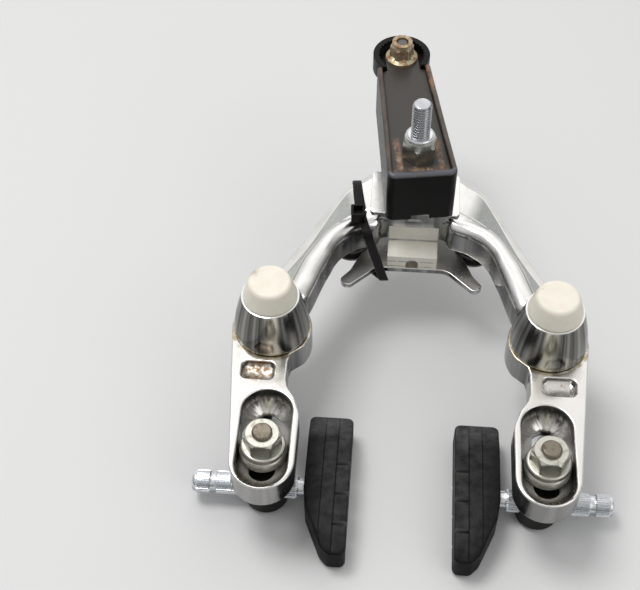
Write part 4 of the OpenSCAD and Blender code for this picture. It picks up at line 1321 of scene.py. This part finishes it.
@dataclass
class CableTie:
    """The black nylon tie round the arch's left leg."""

    finish: Finishes
    outer: Flat = (-19.4, 55.1)
    inner: Flat = (-17.4, 29.4)
    low: float = -11.9
    top: float = 12.8
    slack: float = 0.4
    thick: float = 1.1
    width: float = 3.0
    shifts: Flat = (2.5, 8.9)
    bend_r: float = 3.0
    sag: tuple[Flat, ...] = ((12.0, 0.0), (22.0, 1.5), (25.4, 3.0), (27.2, 4.4))
    head_at: float = 6.4
    head_aside: float = 1.2
    head: Triple = (5.0, 4.6, 3.4)

    def build(self) -> None:
        """Makes the strap and its head."""
        run = Vector(self.outer) - Vector(self.inner)
        turn = (Matrix.Translation((*self.inner, 0.0))
                @ Matrix.Rotation(math.atan2(run.y, run.x), 4, "Z"))
        strap = Piece("cable_tie_strap").loft(self.rings(run.length), closed=True)
        length, width, height = self.head
        head = Piece("head").block((-length / 2, -width / 2, -self.thick / 2),
                                   (length / 2, width / 2, height))
        head.soften(0.45, segments=3, sharp=40.0)
        head.combine(Piece("slot").block((-length / 2 + 0.8, -width / 2 + 0.8, 1.4),
                                         (length / 2 - 0.9, width / 2 - 0.8, height + 1.0)),
                     Cut.TAKE)
        aside = self.head_aside - self.shift(self.head_at, self.top, run.length)
        head.move(Matrix.Translation((self.head_at, aside, self.top)))
        strap.absorb(head.bm).move(turn).finish(
            self.finish.black, "arch_body", "black_nylon", "cable_tie", sharp=38.0)

    def shift(self, u: float, z: float, run: float) -> float:
        """How far the loop is moved sideways.

        Args:
            u: The place along the loop's run.
            z: The height.
            run: The run's length.

        Returns:
            The shift in millimetres.
        """
        near = min(1.0, max(0.0, 1.0 - u / run)) ** 3
        down = (self.top - z) / (self.top - self.low)
        return near * (self.shifts[0] + (self.shifts[1] - self.shifts[0]) * down)

    def sagging(self, u: float, z: float) -> float:
        """How far the loop's upper side is lowered, so that it lies on the arch's edge.

        Args:
            u: The place along the loop's run.
            z: The height.

        Returns:
            The lowering in millimetres.
        """
        share = min(1.0, max(0.0, (z - self.low) / (self.top - self.low) * 1.6 - 0.5))
        for (u0, low), (u1, high) in zip(self.sag, self.sag[1:]):
            if u <= u1:
                return share * (low + (high - low) * max(0.0, (u - u0) / (u1 - u0)))
        return share * self.sag[-1][1]

    def rings(self, run: float) -> list[list[Vector]]:
        """The strap's sections round its loop, with rounded edges.

        Args:
            run: The run's length.

        Returns:
            The sections.
        """
        out = self.slack + self.thick
        outside = round_box((-out, self.low), (run + out, self.top), self.bend_r, 9)
        inside = round_box((-out + self.thick, self.low + self.thick),
                           (run + out - self.thick, self.top - self.thick),
                           self.bend_r - self.thick, 9)
        half, soft = self.width / 2, 0.22
        rings = []
        for (u0, z0), (u1, z1) in self.filled(zip(outside, inside)):
            def at(depth: float, edge: float) -> Vector:
                """A point at a share of the strap's thickness, off its middle line."""
                u, z = u0 + (u1 - u0) * depth, z0 + (z1 - z0) * depth
                return Vector((u, edge - self.shift(u, z, run), z - self.sagging(u, z)))
            rings.append([at(1.0 - soft, half), at(1.0, half - soft), at(1.0, soft - half),
                          at(1.0 - soft, -half), at(soft, -half), at(0.0, soft - half),
                          at(0.0, half - soft), at(soft, half)])
        return rings

    def filled(self, pairs: Iterable[tuple[Flat, Flat]]) -> list[tuple[Flat, Flat]]:
        """Adds steps to the straight runs, which the sideways shift bends.

        Args:
            pairs: The outer and inner points of the loop.

        Returns:
            The same loop with no step over 2 mm.
        """
        loop = list(pairs)
        out = []
        for (a, b), (c, d) in zip(loop, loop[1:] + loop[:1]):
            steps = max(1, round(math.dist(a, c) / 2.0))
            for i in range(steps):
                t = i / steps
                out.append(((a[0] + (c[0] - a[0]) * t, a[1] + (c[1] - a[1]) * t),
                            (b[0] + (d[0] - b[0]) * t, b[1] + (d[1] - b[1]) * t)))
        return out


@dataclass
class Bracket:
    """The folded black channel, its cup and bolts, and the threaded mounting stud."""

    finish: Finishes
    front_half: float = 10.9
    back_half: float = 8.8
    front: float = 11.0
    back: float = 39.5
    sheet: float = 1.8
    front_sheet: float = 2.7
    corner_r: float = 2.6
    taper_y: float = 14.0
    low: float = 12.0
    top: float = 32.0
    web_top: float = 30.2
    tongue_half: float = 5.5
    cup_reach: float = 45.7
    notch: Triple = (3.0, 4.0, 2.0)
    nut_turn: float = math.radians(24.0)
    plain_top: float = 38.0
    thread_low: float = 37.6
    stud_top: float = 51.5
    stud_r: float = 3.0

    def build(self) -> None:
        """Makes the bracket's pieces."""
        channel = Piece("bracket_channel").loft(self.wall_rings())
        half, deep, high = self.notch
        channel.combine(Piece("notch").block((-half, -self.front - 1.0, self.low - 1.0),
                                             (half, -self.front + deep, self.low + high)), Cut.TAKE)
        channel.absorb(self.web().bm).move(PLACE.bracket()).finish(
            self.finish.paint, "arch_body", "black_paint", "bracket", sharp=36.0)
        self.stud()
        axis = Matrix.Translation((0.0, PLACE.stud_reach, 0.0))
        turned = axis @ Matrix.Rotation(self.nut_turn, 4, "Z") @ axis.inverted()
        Piece.copied("mounting_nut").soften(0.3, sharp=50.0, keep=upright).move(turned).finish(
            self.finish.lock_nut, "arch_body", "aged_zinc", "mounting_nut", sharp=25.0)
        dress(self.finish.stud, "mounting_nut_ring")
        Piece.copied("serrated_cup").finish(self.finish.black, "arch_body", "black_nylon",
                                            "serrated_cup", sharp=25.0)
        Piece.copied("bracket_bolt").soften(0.2, sharp=40.0).finish(
            self.finish.dark, "arch_body", "dark_steel", "bracket_bolt")
        Piece.copied("bracket_nut").soften(0.25, sharp=50.0, keep=upright).finish(
            self.finish.rusty, "arch_body", "rusty_zinc", "bracket_nut", sharp=25.0)

    def wall_path(self) -> list[tuple[Vector, Vector, float]]:
        """The folded wall, seen from above.

        Returns:
            Its outer points, inner points and thicknesses.
        """
        r, path = self.corner_r, []
        outer = [(-self.back_half, self.back), (-(self.back_half + self.front_half) / 2, self.taper_y),
                 *arc((-self.front_half + r, -self.front + r), r, 180.0, 270.0, 7),
                 *arc((self.front_half - r, -self.front + r), r, 270.0, 360.0, 7),
                 ((self.back_half + self.front_half) / 2, self.taper_y), (self.back_half, self.back)]
        for x, y in outer:
            share = min(1.0, max(0.0, (-self.front + r - y) / r))
            thick = self.sheet + (self.front_sheet - self.sheet) * share
            corner = Vector((math.copysign(self.front_half - r, x), -self.front + r))
            point = Vector((x, y))
            if y > -self.front + r:
                inwards = Vector((-math.copysign(1.0, x), 0.0))
            else:
                inwards = (corner - point).normalized()
            path.append((point, point + inwards * thick, thick))
        return path

    def wall_rings(self) -> list[list[Vector]]:
        """The wall's sections, each with a round top edge.

        Returns:
            The sections along the fold.
        """
        rings = []
        for outside, inside, thick in self.wall_path():
            half = thick / 2
            section = [(0.35, self.low), (0.0, self.low + 0.35), (0.0, self.top - half)]
            section += [(half - half * math.cos(a), self.top - half + half * math.sin(a))
                        for a in (math.pi * k / 8 for k in range(1, 8))]
            section += [(thick, self.top - half), (thick, self.low + 0.35), (thick - 0.35, self.low)]
            away = (inside - outside) / thick
            rings.append([Vector((*(outside + away * d), z)) for d, z in section])
        return rings

    def web(self) -> Piece:
        """The flat web between the walls, with the rounded tongue that holds the cup.

        Returns:
            The web.
        """
        gap = self.sheet - 0.15
        outline = [(self.tongue_half, self.back + 0.1),
                   *arc((0.0, self.cup_reach), self.tongue_half, 0.0, 180.0, 20),
                   (-self.tongue_half, self.back + 0.1), (-self.back_half + gap, self.back - 0.3),
                   (-self.front_half + gap, -self.front + 3.2),
                   (-self.front_half + gap + 1.0, -self.front + self.front_sheet - 0.2),
                   (self.front_half - gap - 1.0, -self.front + self.front_sheet - 0.2),
                   (self.front_half - gap, -self.front + 3.2), (self.back_half - gap, self.back - 0.3)]
        return Piece("web").raise_outline(outline, self.web_top - self.sheet,
                                          self.web_top).soften(0.25, sharp=60.0)

    def stud(self) -> None:
        """Makes the bolt, plain in its hole and threaded where it stands out."""
        bolt = Piece.copied("mounting_bolt", "mounting_bolt_threaded")
        bmesh.ops.bisect_plane(bolt.bm, geom=bolt.bm.verts[:] + bolt.bm.edges[:] + bolt.bm.faces[:],
                               plane_co=(0, 0, self.plain_top), plane_no=(0, 0, 1), clear_outer=True)
        bmesh.ops.holes_fill(bolt.bm, edges=[e for e in bolt.bm.edges if e.is_boundary])
        bolt.thread((0.0, PLACE.stud_reach), self.stud_r, self.thread_low, self.stud_top)
        bolt.finish(self.finish.stud, "arch_body", "bright_zinc", "mounting_bolt", sharp=40.0)


@dataclass
class Studio:
    """The floor, the lamps and the camera."""

    lens_mm: float = 69.44
    sensor_mm: float = 36.0
    camera_mm: Triple = (-8.46, -276.32, 265.88)
    pitch: float = math.radians(51.46)
    yaw: float = math.radians(-4.76)
    roll: float = math.radians(-0.61)
    floor_half: float = 1.6
    floor_colour: Colour = (0.72, 0.72, 0.715)
    sky: float = 0.62
    horizon: float = 0.10
    target: Triple = (0.0, -0.045, -0.04)
    behind: float = 0.66
    lamps: tuple[tuple[str, Triple, float, float], ...] = (
        ("key", (-0.30, 0.10, 0.80), 0.35, 3.6),
        ("fill", (0.65, -0.45, 0.45), 0.6, 1.0),
    )

    def build(self) -> None:
        """Makes everything that isn't part of the brake."""
        bpy.context.scene.view_settings.view_transform = "Standard"
        self.floor()
        self.world()
        for name, spot, size, power in self.lamps:
            self.lamp(name, spot, size, power)
        self.camera()

    def floor(self) -> None:
        """Makes the pale floor under the lowest point of the brake."""
        low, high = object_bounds()
        bm = bmesh.new()
        bmesh.ops.create_grid(bm, x_segments=1, y_segments=1, size=self.floor_half)
        bmesh.ops.translate(bm, verts=bm.verts,
                            vec=(0.0, (low.y + high.y) / 2, low.z - 0.0001))
        mesh = emptied(bm, "floor")
        obj = placed("floor", mesh)
        n = Nodes("floor_pale")
        n.set(Base_Color=self.floor_colour, Roughness=0.7)
        mesh.materials.append(n.owner)
        obj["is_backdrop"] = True

    def world(self) -> None:
        """Makes a soft sky that is dark in front and bright low behind the brake."""
        n = Nodes("studio", world=True)
        bpy.context.scene.world = n.owner
        _, along, height = n.split()
        glow = n.maths("ADD", n.ramp(height, 0.1, 0.75, self.horizon, self.sky),
                       n.ramp(along, 0.25, 0.8, 0.0, self.behind))
        n.set(Color=(1.0, 1.0, 1.0), Strength=glow)

    def lamp(self, name: str, spot: Triple, size: float,
             power: float) -> None:
        """Makes one square lamp that looks at the brake.

        Args:
            name: The lamp's name.
            spot: Where it hangs, in metres.
            size: Its side in metres.
            power: Its power in watts.
        """
        light = bpy.data.lights.new(name, "AREA")
        light.size = size
        light.energy = power
        obj = placed(name, light)
        obj.location = spot
        obj.rotation_euler = (Vector(self.target) - Vector(spot)).to_track_quat("-Z", "Y").to_euler()

    def camera(self) -> None:
        """Makes the camera from the measured view."""
        data = bpy.data.cameras.new("camera")
        data.lens = self.lens_mm
        data.sensor_width = self.sensor_mm
        data.clip_start = 0.01
        obj = placed("camera", data)
        forward = Vector((math.sin(self.yaw) * math.cos(self.pitch),
                          math.cos(self.yaw) * math.cos(self.pitch), -math.sin(self.pitch)))
        right = Vector((math.cos(self.yaw), -math.sin(self.yaw), 0.0))
        up = right.cross(forward)
        c, s = math.cos(self.roll), math.sin(self.roll)
        right, up = right * c + up * s, up * c - right * s
        turn = Matrix((right, up, -forward)).transposed()
        obj.matrix_world = Matrix.Translation(Vector(self.camera_mm) * MM) @ turn.to_4x4()
        bpy.context.scene.camera = obj


def main() -> None:
    """Builds every piece in order."""
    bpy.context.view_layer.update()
    finish = Finishes()
    Arch(finish).build()
    for side in Side:
        Arm(finish, side).build()
        PadClamp(finish, side).build()
        BrakePad(finish, side).build()
    CamUnit(finish).build()
    CableTie(finish).build()
    Bracket(finish).build()
    Studio().build()


if __name__ == "__main__":
    main()
